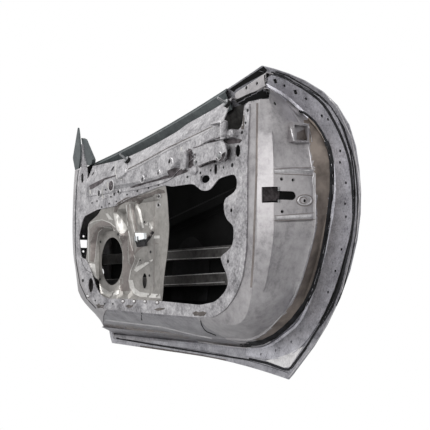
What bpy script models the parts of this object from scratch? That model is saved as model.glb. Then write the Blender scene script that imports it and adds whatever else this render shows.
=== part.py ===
# Bare metal shell of a frameless coupe door, right-hand side, with no trim, glass or lock.
# x runs from the hinge end to the latch end, y from the cabin side out to the skin, z up.
# Places on the door are shares: the first of span (along x), the second of rise (along z),
# both counted from the lower front corner of the inner frame.

import bpy
import bmesh
from math import atan2, ceil, cos, hypot, pi, sin, sqrt
from mathutils import Vector

for old in list(bpy.data.objects):
    bpy.data.objects.remove(old, do_unlink=True)

# Main sizes, in metres
span = 0.980             # inner frame, front edge to the crease beside the latch
rise = 0.500             # inner frame, lower edge to the top of the latch margin
shut_depth = 0.137       # cabin face to the sealing ridge beside the latch
wall_depth = 0.028       # from the ridge's depth out to the skin at the hinge end
door_depth = shut_depth + wall_depth
depth_gain = 0.025       # how much deeper the door is at the latch end

# Sheet and casting thicknesses
skin_thickness = 0.0012
hem_thickness = 0.0034
panel_thickness = 0.0015
frame_thickness = 0.0025
carrier_thickness = 0.0012
rail_thickness = 0.0025
bracket_thickness = 0.0030

# Clearances
seat_gap = 0.0003        # between pieces that touch
skin_clearance = 0.0009  # between curved sheets that lie on each other
hem_clearance = 0.0025   # flanges to the fold of the hem
cut_overrun = 0.012      # how far a cutter runs past what it cuts

# Outer skin
hem_width = 0.014
hem_step = 0.0015
skin_rear_share = 1.182
skin_front_share = -0.0765
belt_front_share = 0.928
belt_rear_share = 1.226
belt_sag_share = 0.030
belt_length_share = 0.950
hem_height_share = -0.242
hem_drop_share = 0.052
hem_drop_start_share = 0.53
hem_drop_run_share = 0.43
rear_middle_share = 0.630
rear_top_pull_share = 0.232
rear_low_pull_share = 0.230
rear_top_power = 3.6
rear_low_power = 2.15
front_middle_share = 0.29
front_low_pull_share = 0.097
front_top_pull_share = 0.012
front_low_power = 3.2
hem_tuck = 0.030         # how far the skin turns in towards the hem
belt_tuck = 0.105        # how far it leans in towards the belt
skin_row_shares = (0.12, 0.19, 0.27, 0.35, 0.43, 0.50, 0.56, 0.62, 0.68, 0.74, 0.80,
                   0.85, 0.90, 0.94, 0.97, 0.985, 1.0)
handle_opening_shares = ((0.880, 0.800), (0.985, 0.815))
handle_opening_sizes = ((0.120, 0.026), (0.026, 0.026))
skin_column_shares = (0.07, 0.15, 0.24, 0.33, 0.42, 0.51, 0.60, 0.68, 0.76, 0.83, 0.89, 0.94)

# Latch end panel: station by station from the belt down and round to the sill seam
crease_shares = ((1.012, 1.014), (1.010, 0.970), (1.005, 0.870), (1.002, 0.790),
                 (1.000, 0.720), (0.999, 0.630), (0.999, 0.490), (0.999, 0.420),
                 (0.995, 0.326), (0.980, 0.200), (0.951, 0.118), (0.906, 0.046),
                 (0.852, 0.006), (0.771, 0.000))
band_inner_shares = ((1.045, 1.014), (1.042, 0.970), (1.036, 0.870), (1.032, 0.790),
                     (1.032, 0.720), (1.032, 0.630), (1.032, 0.490), (1.032, 0.410),
                     (1.029, 0.320), (1.017, 0.190), (0.991, 0.042), (0.950, -0.016),
                     (0.883, -0.026), (0.771, -0.028))
band_outer_shares = ((1.048, 1.018), (1.053, 0.970), (1.059, 0.870), (1.062, 0.790),
                     (1.064, 0.720), (1.064, 0.630), (1.064, 0.490), (1.064, 0.420),
                     (1.055, 0.314), (1.031, 0.170), (0.998, 0.054), (0.956, -0.020),
                     (0.888, -0.048), (0.771, -0.054))
ridge_shares = ((0.969, 1.108), (1.012, 1.050), (1.054, 0.902), (1.070, 0.786),
                (1.082, 0.720), (1.082, 0.630), (1.082, 0.490), (1.082, 0.440),
                (1.061, 0.320), (1.031, 0.166), (0.988, 0.040), (0.941, -0.040),
                (0.876, -0.104), (0.771, -0.116))
groove_shares = ((0.941, 1.134), (0.998, 1.054), (1.068, 0.902), (1.092, 0.802),
                 (1.098, 0.720), (1.095, 0.610), (1.084, 0.500), (1.073, 0.426),
                 (1.057, 0.320), (1.026, 0.166), (0.978, -0.004), (0.918, -0.084),
                 (0.852, -0.148), (0.771, -0.168))
flange_shares = ((0.966, 1.180), (1.038, 1.132), (1.126, 0.980), (1.155, 0.816),
                 (1.162, 0.710), (1.161, 0.610), (1.155, 0.500), (1.148, 0.414),
                 (1.131, 0.320), (1.097, 0.154), (1.041, -0.026), (0.969, -0.158),
                 (0.888, -0.206), (0.771, -0.205))
ridge_depth_shares = (0.64, 0.71, 0.88, 0.95, 1.0, 1.0, 1.0, 1.0, 0.97, 0.92, 0.87, 0.80,
                      0.72, 0.68)
band_depth = 0.026       # depth of the slanted band beside the shut face
band_depth_shares = (1.0, 1.0, 1.0, 1.0, 1.0, 1.0, 1.0, 1.0, 1.0, 1.0, 1.02, 1.08, 1.12, 1.15)
band_start_shares = (0.12, 0.12, 0.12, 0.12, 0.12, 0.12, 0.12, 0.12, 0.12, 0.12, 0.14, 0.20,
                     0.35, 0.58)
frame_underlap = 0.012   # what the inner frame covers of the panels behind it
valley_depth = 0.0035    # soft valley between the crease and the slanted band
ridge_lip = 0.0028       # how far the sealing ridge stands up
shut_recess = 0.0028     # recess of the shut face above and below the latch pad
groove_drop = 0.0115     # flange face to the edge of the step wall, across the groove
groove_width = 0.0075
flange_bead = 0.0032     # bead on the inner edge of the flange
bead_width = 0.006
rib_stations = (4.33, 6.42)
rib_half_station = 0.06
pad_blend_station = 0.10
min_station_step = 0.05

flange_square_shares = ((0.975, 1.145), (1.028, 1.078))
flange_hole_shares = ((0.999, 1.116), (1.056, 1.039), (1.092, 0.951), (1.109, 0.930),
                      (1.130, 0.781), (1.124, 0.730), (1.137, 0.634), (1.130, 0.539),
                      (1.132, 0.479), (1.117, 0.330), (1.097, 0.231), (1.074, 0.132),
                      (0.951, -0.112), (0.893, -0.162), (0.835, -0.189))
flange_square = 0.010
flange_hole = 0.007

# Sill panel: the same profile carried forward, ending on a slant at the hinge end
sill_front_shares = ((0.255, 0.000), (0.206, -0.028), (0.164, -0.056), (0.038, -0.124),
                     (0.034, -0.184), (0.031, -0.205))
sill_steps = 6
corner_seam = 0.0032     # sill panel to the hinge end panel at the lower front corner

# Hinge end panel: station by station from the belt down and round to the sill
hinge_crease_shares = ((0.024, 0.890), (0.012, 0.790), (0.002, 0.650), (0.001, 0.490),
                       (0.015, 0.350), (0.043, 0.256), (0.071, 0.180), (0.107, 0.100),
                       (0.163, 0.034))
shoulder_shares = ((-0.022, 0.890), (-0.031, 0.790), (-0.036, 0.650), (-0.037, 0.490),
                   (-0.029, 0.350), (-0.010, 0.250), (0.021, 0.142), (0.061, 0.070),
                   (0.107, 0.004))
face_edge_shares = ((-0.041, 0.890), (-0.041, 0.790), (-0.041, 0.650), (-0.041, 0.490),
                    (-0.041, 0.350), (-0.041, 0.230), (-0.041, 0.100), (-0.032, 0.020),
                    (0.010, -0.046))
face_far_shares = ((-0.041, 0.890), (-0.041, 0.790), (-0.041, 0.650), (-0.041, 0.490),
                   (-0.041, 0.350), (-0.041, 0.220), (-0.041, 0.080), (-0.036, -0.010),
                   (-0.006, -0.080))
hinge_flange_height_shares = (0.890, 0.790, 0.650, 0.490, 0.350, 0.230, 0.100, 0.000, -0.110)
shoulder_depth = 0.010
shoulder_depth_shares = (1.0, 1.0, 1.0, 1.0, 1.0, 1.0, 1.0, 1.1, 1.7)
wall_foot_shares = (0.0, 0.0, 0.0, 0.0, 0.0, 0.0, 0.0, 0.15, 0.40)
face_start_shares = (0.21, 0.21, 0.21, 0.21, 0.21, 0.22, 0.27, 0.42, 0.54)
face_margin = 0.053      # skin to the end of the hinge face, at the sill
face_margin_shares = (0.66, 0.66, 0.66, 0.66, 0.66, 0.66, 0.70, 0.78, 0.88)

# Inner frame, one casting round the openings
frame_shares = ((0.024, 0.890), (0.012, 0.790), (0.002, 0.650), (0.001, 0.490),
                (0.015, 0.350), (0.043, 0.256), (0.071, 0.180), (0.107, 0.100),
                (0.163, 0.034), (0.255, 0.002), (0.480, 0.000), (0.770, 0.000),
                (0.852, 0.006), (0.906, 0.046), (0.951, 0.118), (0.980, 0.200),
                (0.995, 0.326), (0.999, 0.490), (1.000, 0.720), (1.005, 0.870),
                (1.012, 1.010), (0.988, 1.004), (0.980, 0.900), (0.935, 0.884),
                (0.900, 0.872), (0.860, 0.856), (0.735, 0.812), (0.653, 0.772),
                (0.480, 0.738), (0.327, 0.748), (0.104, 0.762), (0.104, 0.890))
opening_shares = ((0.181, 0.608), (0.081, 0.574), (0.045, 0.458), (0.063, 0.316),
                  (0.098, 0.306), (0.116, 0.282), (0.143, 0.224), (0.167, 0.157),
                  (0.198, 0.098), (0.236, 0.072), (0.285, 0.066), (0.337, 0.070),
                  (0.586, 0.070), (0.792, 0.062),
                  (0.862, 0.082), (0.902, 0.126), (0.920, 0.168), (0.916, 0.204),
                  (0.887, 0.284), (0.888, 0.302), (0.912, 0.322), (0.940, 0.350),
                  (0.944, 0.416), (0.940, 0.448), (0.920, 0.466), (0.904, 0.498),
                  (0.899, 0.554), (0.909, 0.580), (0.932, 0.590), (0.957, 0.614),
                  (0.958, 0.662), (0.948, 0.684), (0.932, 0.688), (0.876, 0.678),
                  (0.855, 0.648), (0.835, 0.628), (0.810, 0.628), (0.792, 0.636),
                  (0.767, 0.664), (0.749, 0.674), (0.643, 0.676), (0.622, 0.686),
                  (0.591, 0.688), (0.388, 0.644), (0.311, 0.614))
frame_corner = 0.014
frame_hole_shares = ((0.817, 0.686), (0.933, 0.517), (0.918, 0.276), (0.961, 0.794),
                     (0.864, 0.726), (0.067, 0.822), (0.140, 0.143))
frame_hole_sizes = ((0.040, 0.020), (0.010, 0.010), (0.010, 0.010), (0.022, 0.030),
                    (0.014, 0.028), (0.020, 0.032), (0.038, 0.046))
boss_shares = ((0.805, 0.773), (0.907, 0.781))
boss_radius = 0.009
plate_standoff = 0.016   # cabin side of the frame up to the handle plate

# Carrier, the embossed sheet that holds the speaker and the window lift
carrier_shares = ((0.607, 0.700), (0.619, 0.618), (0.629, 0.454), (0.620, 0.332),
                  (0.603, 0.210), (0.596, 0.108), (0.588, 0.044), (0.265, 0.036),
                  (0.222, 0.044), (0.180, 0.078), (0.153, 0.140), (0.130, 0.204),
                  (0.104, 0.250), (0.090, 0.300),
                  (0.098, 0.318), (0.108, 0.432), (0.110, 0.526), (0.124, 0.538),
                  (0.181, 0.576), (0.224, 0.634), (0.311, 0.646), (0.388, 0.680))
carrier_corner = 0.010
speaker_share = (0.2333, 0.290)
speaker_diameter = 0.145
pocket_depth = 0.024
field_depth = 0.014
rib_depth = 0.010
emboss_slope = 0.014
# centre share, half size share, turn in degrees, corner cut share, depth share of the pocket
emboss_shares = (
    ((0.225, 0.285), (0.0915, 0.201), 0, 0.78, 1.0),
    ((0.344, 0.330), (0.036, 0.250), 0, 0.92, 0.75),
    ((0.482, 0.360), (0.092, 0.270), 0, 0.92, 0.54),
    ((0.446, 0.188), (0.080, 0.105), 0, 0.80, 0.80))
raised_rib_shares = (
    ((0.300, 0.508), (0.016, 0.100), 30, 1.0, 0.70),
    ((0.394, 0.516), (0.007, 0.104), 19, 1.0, 0.45),
    ((0.436, 0.546), (0.009, 0.072), 19, 1.0, 0.45),
    ((0.518, 0.467), (0.012, 0.045), 0, 1.0, 0.50))
carrier_pitch = 0.020     # longest step of the sheet's grid
carrier_rib_pitch = 0.0105  # the same across a raised rib
carrier_line_gap = 0.006  # shortest step between two grid lines
carrier_hole_shares = ((0.455, 0.175), (0.559, 0.636), (0.559, 0.589))
carrier_hole_sizes = ((0.026, 0.044), (0.006, 0.006), (0.006, 0.006))

# Belt rail, the inner rail under the window slot
rail_place_shares = (0.1045, 0.220, 0.320, 0.410, 0.520, 0.633, 0.694, 0.755, 0.837, 0.905)
rail_low_shares = (0.722, 0.722, 0.718, 0.714, 0.718, 0.734, 0.780, 0.820, 0.850, 0.874)
rail_crease_shares = (0.792, 0.792, 0.796, 0.814, 0.850, 0.886, 0.890, 0.894, 0.902, 0.914)
rail_top_shares = (0.896, 0.894, 0.896, 0.912, 0.938, 0.972, 1.000, 1.018, 1.044, 1.070)
rail_stand_shares = (0.24, 0.40, 0.75, 1.0, 1.0, 1.0, 1.0, 1.0, 1.0, 1.0)
rail_stand = 0.012
rail_flange = 0.012
rail_lean = 0.020
rail_lip = 0.012
rail_chamfer = 0.008
boss_box_share = (0.914, 0.902)
boss_box = (0.052, 0.026, 0.044)
boss_box_wall = 0.004

# Outer belt rail, the strip that closes the skin's upper edge
strip_front_share = 0.036
strip_rear_share = 0.801
strip_height = 0.052
strip_offset = 0.014
strip_lip = 0.010

# Corner bracket at the rear of the window slot
bracket_rear_share = 1.033
bracket_low_shares = (1.046, 1.084)
bracket_high_shares = (1.094, 1.146)
bracket_depth = 0.030
bracket_reach = 0.022
bracket_hole_shares = ((0.954, 1.104), (0.998, 1.108))
bracket_hole = 0.009

# Impact beams
beam_height = 0.033
beam_width = 0.020
beam_wall = 0.003
beam_corner = 0.0015
beam_setback = 0.036     # skin at the hinge end back to the middle of a beam
upper_beam_shares = (0.305, 0.345)
lower_beam_shares = (0.140, 0.210)
beam_end_gap = 0.0012
foot_room = 0.0045       # along x, for the slanted rear foot
foot_height = 0.038
foot_width = 0.040
foot_offset_share = 0.25  # feet sit this share of their width nearer the cabin

# Hinge reinforcements and check strap plate
hinge_share = 0.760
lower_hinge_share = 0.225
hinge_plate = (0.006, 0.044, 0.080)
hinge_bolt_pitch = 0.044
hinge_bolt_hole = 0.010
hinge_plate_depth_share = 0.455
check_share = 0.410
check_hole = (0.028, 0.026)
check_plate = (0.003, 0.040, 0.094)
check_bolt_pitch = 0.050
check_bolt_hole = 0.008
check_depth_share = 0.385
harness_share = 0.221
harness_diameter = 0.040
harness_depth_share = 0.80

# Latch mounting
latch_slot_shares = ((0.205, 0.576), (0.420, 0.574))   # share of shut depth, share of rise
latch_slot_depth_share = 0.263
latch_slot_heights = (0.036, 0.020)
latch_hole_shares = ((0.36, 0.648), (0.575, 0.646), (0.37, 0.500), (0.79, 0.553))
latch_hole = 0.008
square_boss_share = (0.76, 0.870)   # share of shut depth, share of rise
square_boss = (0.016, 0.050, 0.046)
square_boss_wall = 0.006
square_boss_sink = 0.004  # how far the boss reaches into the panel's thickness and behind it
latch_plate_stations = (4.6, 6.3)
latch_plate_shares = (0.12, 0.72)
latch_plate_thickness = 0.0025

# Mirror triangle at the front of the belt
sail_shares = ((-0.013, 1.178), (-0.053, 0.980), (-0.032, 0.890), (-0.004, 0.890),
               (0.010, 1.000), (-0.004, 1.130))
strut_shares = ((-0.008, 1.106), (0.013, 1.093), (0.083, 0.943), (0.076, 0.912),
                (0.044, 0.912), (0.014, 0.990))
mirror_plate_shares = ((-0.002, 0.905), (0.048, 0.905), (0.022, 0.985), (0.012, 1.060),
                       (0.002, 1.060))
sail_depth = 0.018
sail_thickness = 0.005
strut_depth = 0.012
mirror_plate_thickness = 0.004
mirror_hole_shares = ((0.007, 0.922), (0.034, 0.922), (0.009, 1.012))
mirror_hole = 0.006

# Window stabilisers
stud_shares = ((0.378, 0.868), (0.902, 1.036))
stud_radius = 0.003
stud_length = 0.034
stud_washer = (0.009, 0.002)
stud_rubber = (0.010, 0.008)

# Handle plate
handle_plate_shares = ((0.776, 0.850), (0.915, 0.851), (0.935, 0.835), (0.942, 0.784),
                       (0.930, 0.754), (0.913, 0.749), (0.890, 0.765), (0.869, 0.764),
                       (0.831, 0.755), (0.804, 0.751), (0.790, 0.769), (0.794, 0.810))
handle_plate_thickness = 0.003
plate_bolt_hole = 0.007
plate_corner = 0.006

# Skin stiffener, damping pad and carrier clip
stiffener_shares = ((0.320, 0.500), (0.720, 0.650))
stiffener_width = 0.052
stiffener_height = 0.010
stiffener_steps = 12
damping_shares = ((0.360, 0.560), (0.060, 0.290))
damping_thickness = 0.0020
damping_bulge_share = 0.14
clip_share = (0.437, 0.410)
clip_size = (0.020, 0.012, 0.016)

# Collections and the empty that carries every piece
parts = bpy.data.collections.new('car_door_shell')
cutters = bpy.data.collections.new('cutters')
bpy.context.scene.collection.children.link(parts)
bpy.context.scene.collection.children.link(cutters)

hinge_face_x = face_edge_shares[0][0] * span


# Surfaces that several pieces share
def clamp(value, low, high):
    return max(low, min(high, value))


def spot(share):
    return share[0] * span, share[1] * rise


def belt_height(x):
    u = x / (belt_length_share * span)
    line = belt_front_share + (belt_rear_share - belt_front_share) * u
    return rise * (line - 4 * belt_sag_share * u * (1 - u))


def hem_height(x):
    late = max(0.0, (x / span - hem_drop_start_share) / hem_drop_run_share)
    return rise * (hem_height_share - hem_drop_share * late * late)


def skin_depth(x, z):
    t = (z - hem_height(x)) / (belt_height(x) - hem_height(x))
    depth = door_depth + depth_gain * clamp(x / (span * skin_rear_share), -0.1, 1.0)
    if t < 0.5:
        return depth - hem_tuck * (1 - 2 * t) ** 2
    return depth - belt_tuck * (2 * t - 1) ** 2


def rear_edge(z):
    away = z / rise - rear_middle_share
    if away > 0:
        reach = belt_rear_share - rear_middle_share
        pull = rear_top_pull_share * (away / reach) ** rear_top_power
    else:
        reach = rear_middle_share - hem_height_share + hem_drop_share
        pull = rear_low_pull_share * (-away / reach) ** rear_low_power
    return span * (skin_rear_share - pull)


def front_edge(z):
    away = z / rise - front_middle_share
    if away > 0:
        reach = belt_front_share - front_middle_share
        pull = front_top_pull_share * (away / reach) ** 2
    else:
        reach = front_middle_share - hem_height_share
        pull = front_low_pull_share * (-away / reach) ** front_low_power
    return span * (skin_front_share + pull)


def edge_stretch(edge, z, slope=0.0):
    # how much longer a step across the hem is along x where the edge leans,
    # taken along a row that climbs by this slope
    lean = (edge(z + hem_step) - edge(z - hem_step)) / 2 / hem_step
    return sqrt(1 + lean * lean) / (1 - slope * lean)


def meet(height, edge, low, high):
    # x where a row of the skin meets one of its end edges
    for _ in range(40):
        middle = (low + high) / 2
        if middle < edge(height(middle)):
            low = middle
        else:
            high = middle
    return low


def smooth_at(points, t):
    # a smooth curve through points of any dimension, read at station t,
    # level wherever two neighbours have the same value
    last = len(points) - 1
    i = min(int(t), last - 1)
    f = t - i
    b, c = points[i], points[i + 1]
    a = points[i - 1] if i > 0 else tuple(2 * p - q for p, q in zip(b, c))
    d = points[i + 2] if i + 2 <= last else tuple(2 * q - p for p, q in zip(b, c))
    return tuple(q if abs(q - r) < seat_gap / 100 else
                 0.5 * (2 * q + (r - p) * f + (2 * p - 5 * q + 4 * r - s) * f * f
                        + (3 * q - p - 3 * r + s) * f ** 3)
                 for p, q, r, s in zip(a, b, c, d))


def smooth_step(value):
    value = clamp(value, 0.0, 1.0)
    return value * value * (3 - 2 * value)


# Building tools
def make_material(name, colour, roughness, metallic):
    material = bpy.data.materials.new(name)
    material.use_nodes = True
    shader = material.node_tree.nodes['Principled BSDF']
    shader.inputs['Base Color'].default_value = (*colour, 1.0)
    shader.inputs['Roughness'].default_value = roughness
    shader.inputs['Metallic'].default_value = metallic
    return material


cast_metal = make_material('cast_aluminium', (0.42, 0.42, 0.43), 0.5, 1.0)
sheet_metal = make_material('aluminium_sheet', (0.36, 0.36, 0.38), 0.4, 1.0)
dark_sheet = make_material('dark_primed_sheet', (0.08, 0.10, 0.10), 0.6, 0.4)
beam_metal = make_material('extruded_aluminium', (0.45, 0.45, 0.45), 0.35, 1.0)
steel = make_material('zinc_plated_steel', (0.50, 0.50, 0.48), 0.35, 1.0)
rubber = make_material('black_rubber', (0.015, 0.015, 0.015), 0.8, 0.0)
mastic = make_material('damping_mastic', (0.01, 0.01, 0.01), 0.9, 0.0)


def add_object(name, mesh, material, collection=None):
    piece = bpy.data.objects.new(name, mesh)
    (collection or parts).objects.link(piece)
    if material:
        mesh.materials.append(material)
    return piece


def sheet(name, columns, rows, place, thickness, material, facing, weights=None):
    # an open grid laid on a surface and thickened away from the side that faces out
    bm = bmesh.new()
    bmesh.ops.create_grid(bm, x_segments=columns, y_segments=rows, size=1.0)
    keys = {}
    for vert in bm.verts:
        i = round((vert.co.x + 1) / 2 * columns)
        j = round((vert.co.y + 1) / 2 * rows)
        keys[vert] = (i, j)
        vert.co = place(i, j)
    bmesh.ops.triangulate(bm, faces=bm.faces)
    bm.normal_update()
    if sum(face.normal.dot(facing) * face.calc_area() for face in bm.faces) < 0:
        bmesh.ops.reverse_faces(bm, faces=bm.faces)
    bm.verts.index_update()
    thick = [vert.index for vert, key in keys.items() if weights and weights(*key)]
    mesh = bpy.data.meshes.new(name)
    bm.to_mesh(mesh)
    bm.free()
    piece = add_object(name, mesh, material)
    solid = piece.modifiers.new('thickness', 'SOLIDIFY')
    solid.thickness = thickness
    solid.offset = -1
    if weights:
        piece.vertex_groups.new(name='folded').add(thick, 1.0, 'REPLACE')
        solid.vertex_group = 'folded'
        solid.thickness_vertex_group = skin_thickness / thickness
    return piece


def rounded(points, radius, steps=2):
    # an outline with its corners turned into short curves
    path = []
    count = len(points)
    for i, corner in enumerate(points):
        here = Vector(corner)
        before, after = Vector(points[i - 1]) - here, Vector(points[(i + 1) % count]) - here
        start = here + before.normalized() * min(radius, 0.45 * before.length)
        end = here + after.normalized() * min(radius, 0.45 * after.length)
        for k in range(steps + 1):
            f = k / steps
            path.append((1 - f) ** 2 * start + 2 * f * (1 - f) * here + f * f * end)
    return path


def oval(centre, width, height, sides=10):
    return [Vector((centre[0] + width / 2 * cos(2 * pi * k / sides),
                    centre[1] + height / 2 * sin(2 * pi * k / sides))) for k in range(sides)]


def flat_plate(name, outlines, front, thickness, material, collection=None):
    # a filled outline standing in the xz plane, its cabin side at y = front
    curve = bpy.data.curves.new(name, 'CURVE')
    curve.dimensions = '2D'
    curve.fill_mode = 'BOTH'
    curve.extrude = thickness / 2
    for outline in outlines:
        spline = curve.splines.new('POLY')
        spline.points.add(len(outline) - 1)
        for point, place in zip(spline.points, outline):
            point.co = (place[0], place[1], 0, 1)
        spline.use_cyclic_u = True
    guide = bpy.data.objects.new(name + '_outline', curve)
    guide.rotation_euler = (pi / 2, 0, 0)
    guide.location = (0, front + thickness / 2, 0)
    parts.objects.link(guide)
    bpy.context.view_layer.update()
    evaluated = guide.evaluated_get(bpy.context.evaluated_depsgraph_get())
    mesh = bpy.data.meshes.new_from_object(evaluated)
    matrix = guide.matrix_world.copy()
    bpy.data.objects.remove(guide, do_unlink=True)
    bm = bmesh.new()
    bm.from_mesh(mesh)
    bmesh.ops.remove_doubles(bm, verts=bm.verts, dist=seat_gap / 10)
    bm.transform(matrix)
    bmesh.ops.recalc_face_normals(bm, faces=bm.faces)
    bm.to_mesh(mesh)
    bm.free()
    mesh.materials.clear()
    return add_object(name, mesh, material, collection)


def block(name, size, place, material, collection=None):
    bm = bmesh.new()
    bmesh.ops.create_cube(bm, size=1.0)
    bmesh.ops.scale(bm, vec=Vector(size), verts=bm.verts)
    mesh = bpy.data.meshes.new(name)
    bm.to_mesh(mesh)
    bm.free()
    piece = add_object(name, mesh, material, collection)
    piece.location = place
    return piece


def rod(name, radius, length, place, axis, material, collection=None, sides=16):
    bm = bmesh.new()
    bmesh.ops.create_cone(bm, cap_ends=True, segments=sides, radius1=radius, radius2=radius,
                          depth=length)
    mesh = bpy.data.meshes.new(name)
    bm.to_mesh(mesh)
    bm.free()
    piece = add_object(name, mesh, material, collection)
    piece.rotation_euler = Vector(axis).to_track_quat('Z', 'Y').to_euler()
    piece.location = place
    return piece


def combine(piece, tools, operation):
    # one Boolean for all the tools of a piece, kept in a collection of their own
    group = bpy.data.collections.new(piece.name + '_' + operation.lower())
    cutters.children.link(group)
    for tool in tools:
        for home in list(tool.users_collection):
            home.objects.unlink(tool)
        group.objects.link(tool)
        tool.hide_render = True
        tool.display_type = 'WIRE'
    change = piece.modifiers.new(operation.lower(), 'BOOLEAN')
    change.operation = operation
    change.solver = 'EXACT'
    change.operand_type = 'COLLECTION'
    change.collection = group
    return piece


# Outer skin with its folded hem
def make_outer_skin():
    hem_offsets = (0.0, hem_width, hem_width + hem_step)

    def height_of(row):
        if row < len(hem_offsets):
            return lambda x: hem_height(x) + hem_offsets[row]
        share = skin_row_shares[row - len(hem_offsets)]
        return lambda x: hem_height(x) + share * (belt_height(x) - hem_height(x))

    rows = []
    for row in range(len(hem_offsets) + len(skin_row_shares)):
        height = height_of(row)
        rear = meet(height, rear_edge, span / 2, span * skin_rear_share)
        front = -meet(lambda x: height(-x), lambda z: -front_edge(z), -span / 2, span / 2)
        slope = (height(rear) - height(rear - hem_width)) / hem_width
        stretch = edge_stretch(rear_edge, height(rear), slope)
        places = [front + offset * edge_stretch(front_edge, height(front))
                  for offset in hem_offsets]
        inner = (places[-1], rear - hem_offsets[-1] * stretch)
        places += [inner[0] + share * (inner[1] - inner[0]) for share in skin_column_shares]
        places += [rear - offset * stretch for offset in reversed(hem_offsets)]
        rows.append([Vector((x, skin_depth(x, height(x)), height(x))) for x in places])
    columns = len(rows[0]) - 1

    def folded(i, j):
        return i < 2 or i > columns - 2 or j < 2

    skin = sheet('outer_skin', columns, len(rows) - 1, lambda i, j: rows[j][i],
                 hem_thickness, sheet_metal, Vector((0, 1, 0)), folded)
    tools = []
    for share, size in zip(handle_opening_shares, handle_opening_sizes):
        x, z = spot(share)
        opening = flat_plate('handle_opening', [oval((x, z), *size, sides=16)],
                             skin_depth(x, z) - cut_overrun, 2 * cut_overrun, None)
        tools.append(opening)
    return combine(skin, tools, 'DIFFERENCE')


# Profile of the shut face: from the frame over the band, the ridge and the groove to the flange
panel_lay = frame_thickness + seat_gap
flange_lay = skin_thickness + skin_clearance + panel_thickness


def profile(crease, band_in, band_out, ridge, groove, flange, start, band, ridge_deep):
    cx, cz = spot(crease)
    bx, bz = spot(band_in)
    ox, oz = spot(band_out)
    rx, rz = spot(ridge)
    gx, gz = spot(groove)
    fx, fz = spot(flange)
    away = Vector((cx - bx, cz - bz)).normalized() * frame_underlap
    out = Vector((fx - gx, fz - gz)).normalized()
    deep_start = panel_lay + start * band_depth
    deep_band = panel_lay + band * band_depth
    deep_ridge = ridge_deep * shut_depth

    def between(a, b, share):
        return tuple(p + (q - p) * share for p, q in zip(a, b))

    band_edge = (ox, deep_band, oz)
    top = (rx, deep_ridge, rz)

    def flange_spot(offset, drop):
        x, z = gx + out.x * offset, gz + out.y * offset
        return x, skin_depth(x, z) - flange_lay - drop, z

    low_edge = flange_spot(-groove_width, groove_drop)
    return [
        (cx + away.x, panel_lay, cz + away.y),
        (cx, panel_lay, cz),
        (cx + (bx - cx) * 0.45, panel_lay + valley_depth, cz + (bz - cz) * 0.45),
        (bx, deep_start, bz),
        band_edge,
        between(band_edge, top, 0.10),
        between(band_edge, top, 0.50),
        between(band_edge, top, 0.88),
        between(band_edge, top, 0.94),
        top,
        between(top, low_edge, 0.18),
        low_edge,
        flange_spot(-groove_width / 2, 0),
        flange_spot(0, flange_bead),
        flange_spot(bead_width, 0),
        (fx, skin_depth(fx, fz) - flange_lay, fz)]


latch_profiles = [profile(*row) for row in zip(
    crease_shares, band_inner_shares, band_outer_shares, ridge_shares, groove_shares,
    flange_shares, band_start_shares, band_depth_shares, ridge_depth_shares)]
latch_count = len(latch_profiles) - 1


def latch_row(t):
    rows = [smooth_at([row[j] for row in latch_profiles], t) for j in range(16)]
    return [Vector(point) for point in rows]


def latch_relief(t):
    # recess above and below the latch pad, with a rib on each side of the pad
    first, second = rib_stations
    above = smooth_step((first - rib_half_station - t) / pad_blend_station)
    below = smooth_step((t - second - rib_half_station) / pad_blend_station)
    fade = smooth_step((latch_count - 2 - t) / 2)
    rib = max(0.0, 1 - min(abs(t - first), abs(t - second)) / rib_half_station)
    return shut_recess * (max(above, below) * fade - rib)


def latch_surface(t):
    # profile points at station t, with the recess and the ridge's lip worked in
    step = pad_blend_station / 4
    row = latch_row(t)
    ahead = latch_row(min(t + step, latch_count))
    behind = latch_row(max(t - step, 0))
    along = ahead[6] - behind[6]
    across = row[9] - row[4]
    normal = along.cross(across).normalized()
    if normal.y > 0:
        normal = -normal
    inward = -normal * latch_relief(t)
    for j in (5, 6, 7):
        row[j] = row[j] + inward
    row[8] = row[8] - normal * ridge_lip / 2
    row[9] = row[9] + normal * ridge_lip / 2
    # the flange stops at the fold of the hem
    outer = row[-1]
    hem = edge_stretch(rear_edge, outer.z) * (hem_width + hem_step + hem_clearance)
    outer.x = min(outer.x, rear_edge(outer.z) - hem)
    outer.y = skin_depth(outer.x, outer.z) - flange_lay
    return row


def station_list(first, last, steps, extras=()):
    # even stations, leaving out those that would crowd an extra one
    count = round((last - first) * steps)
    stations = [first + (last - first) * k / count for k in range(count + 1)]
    room = min_station_step
    return sorted([t for t in stations if all(abs(t - extra) > room for extra in extras)]
                  + list(extras))


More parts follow.
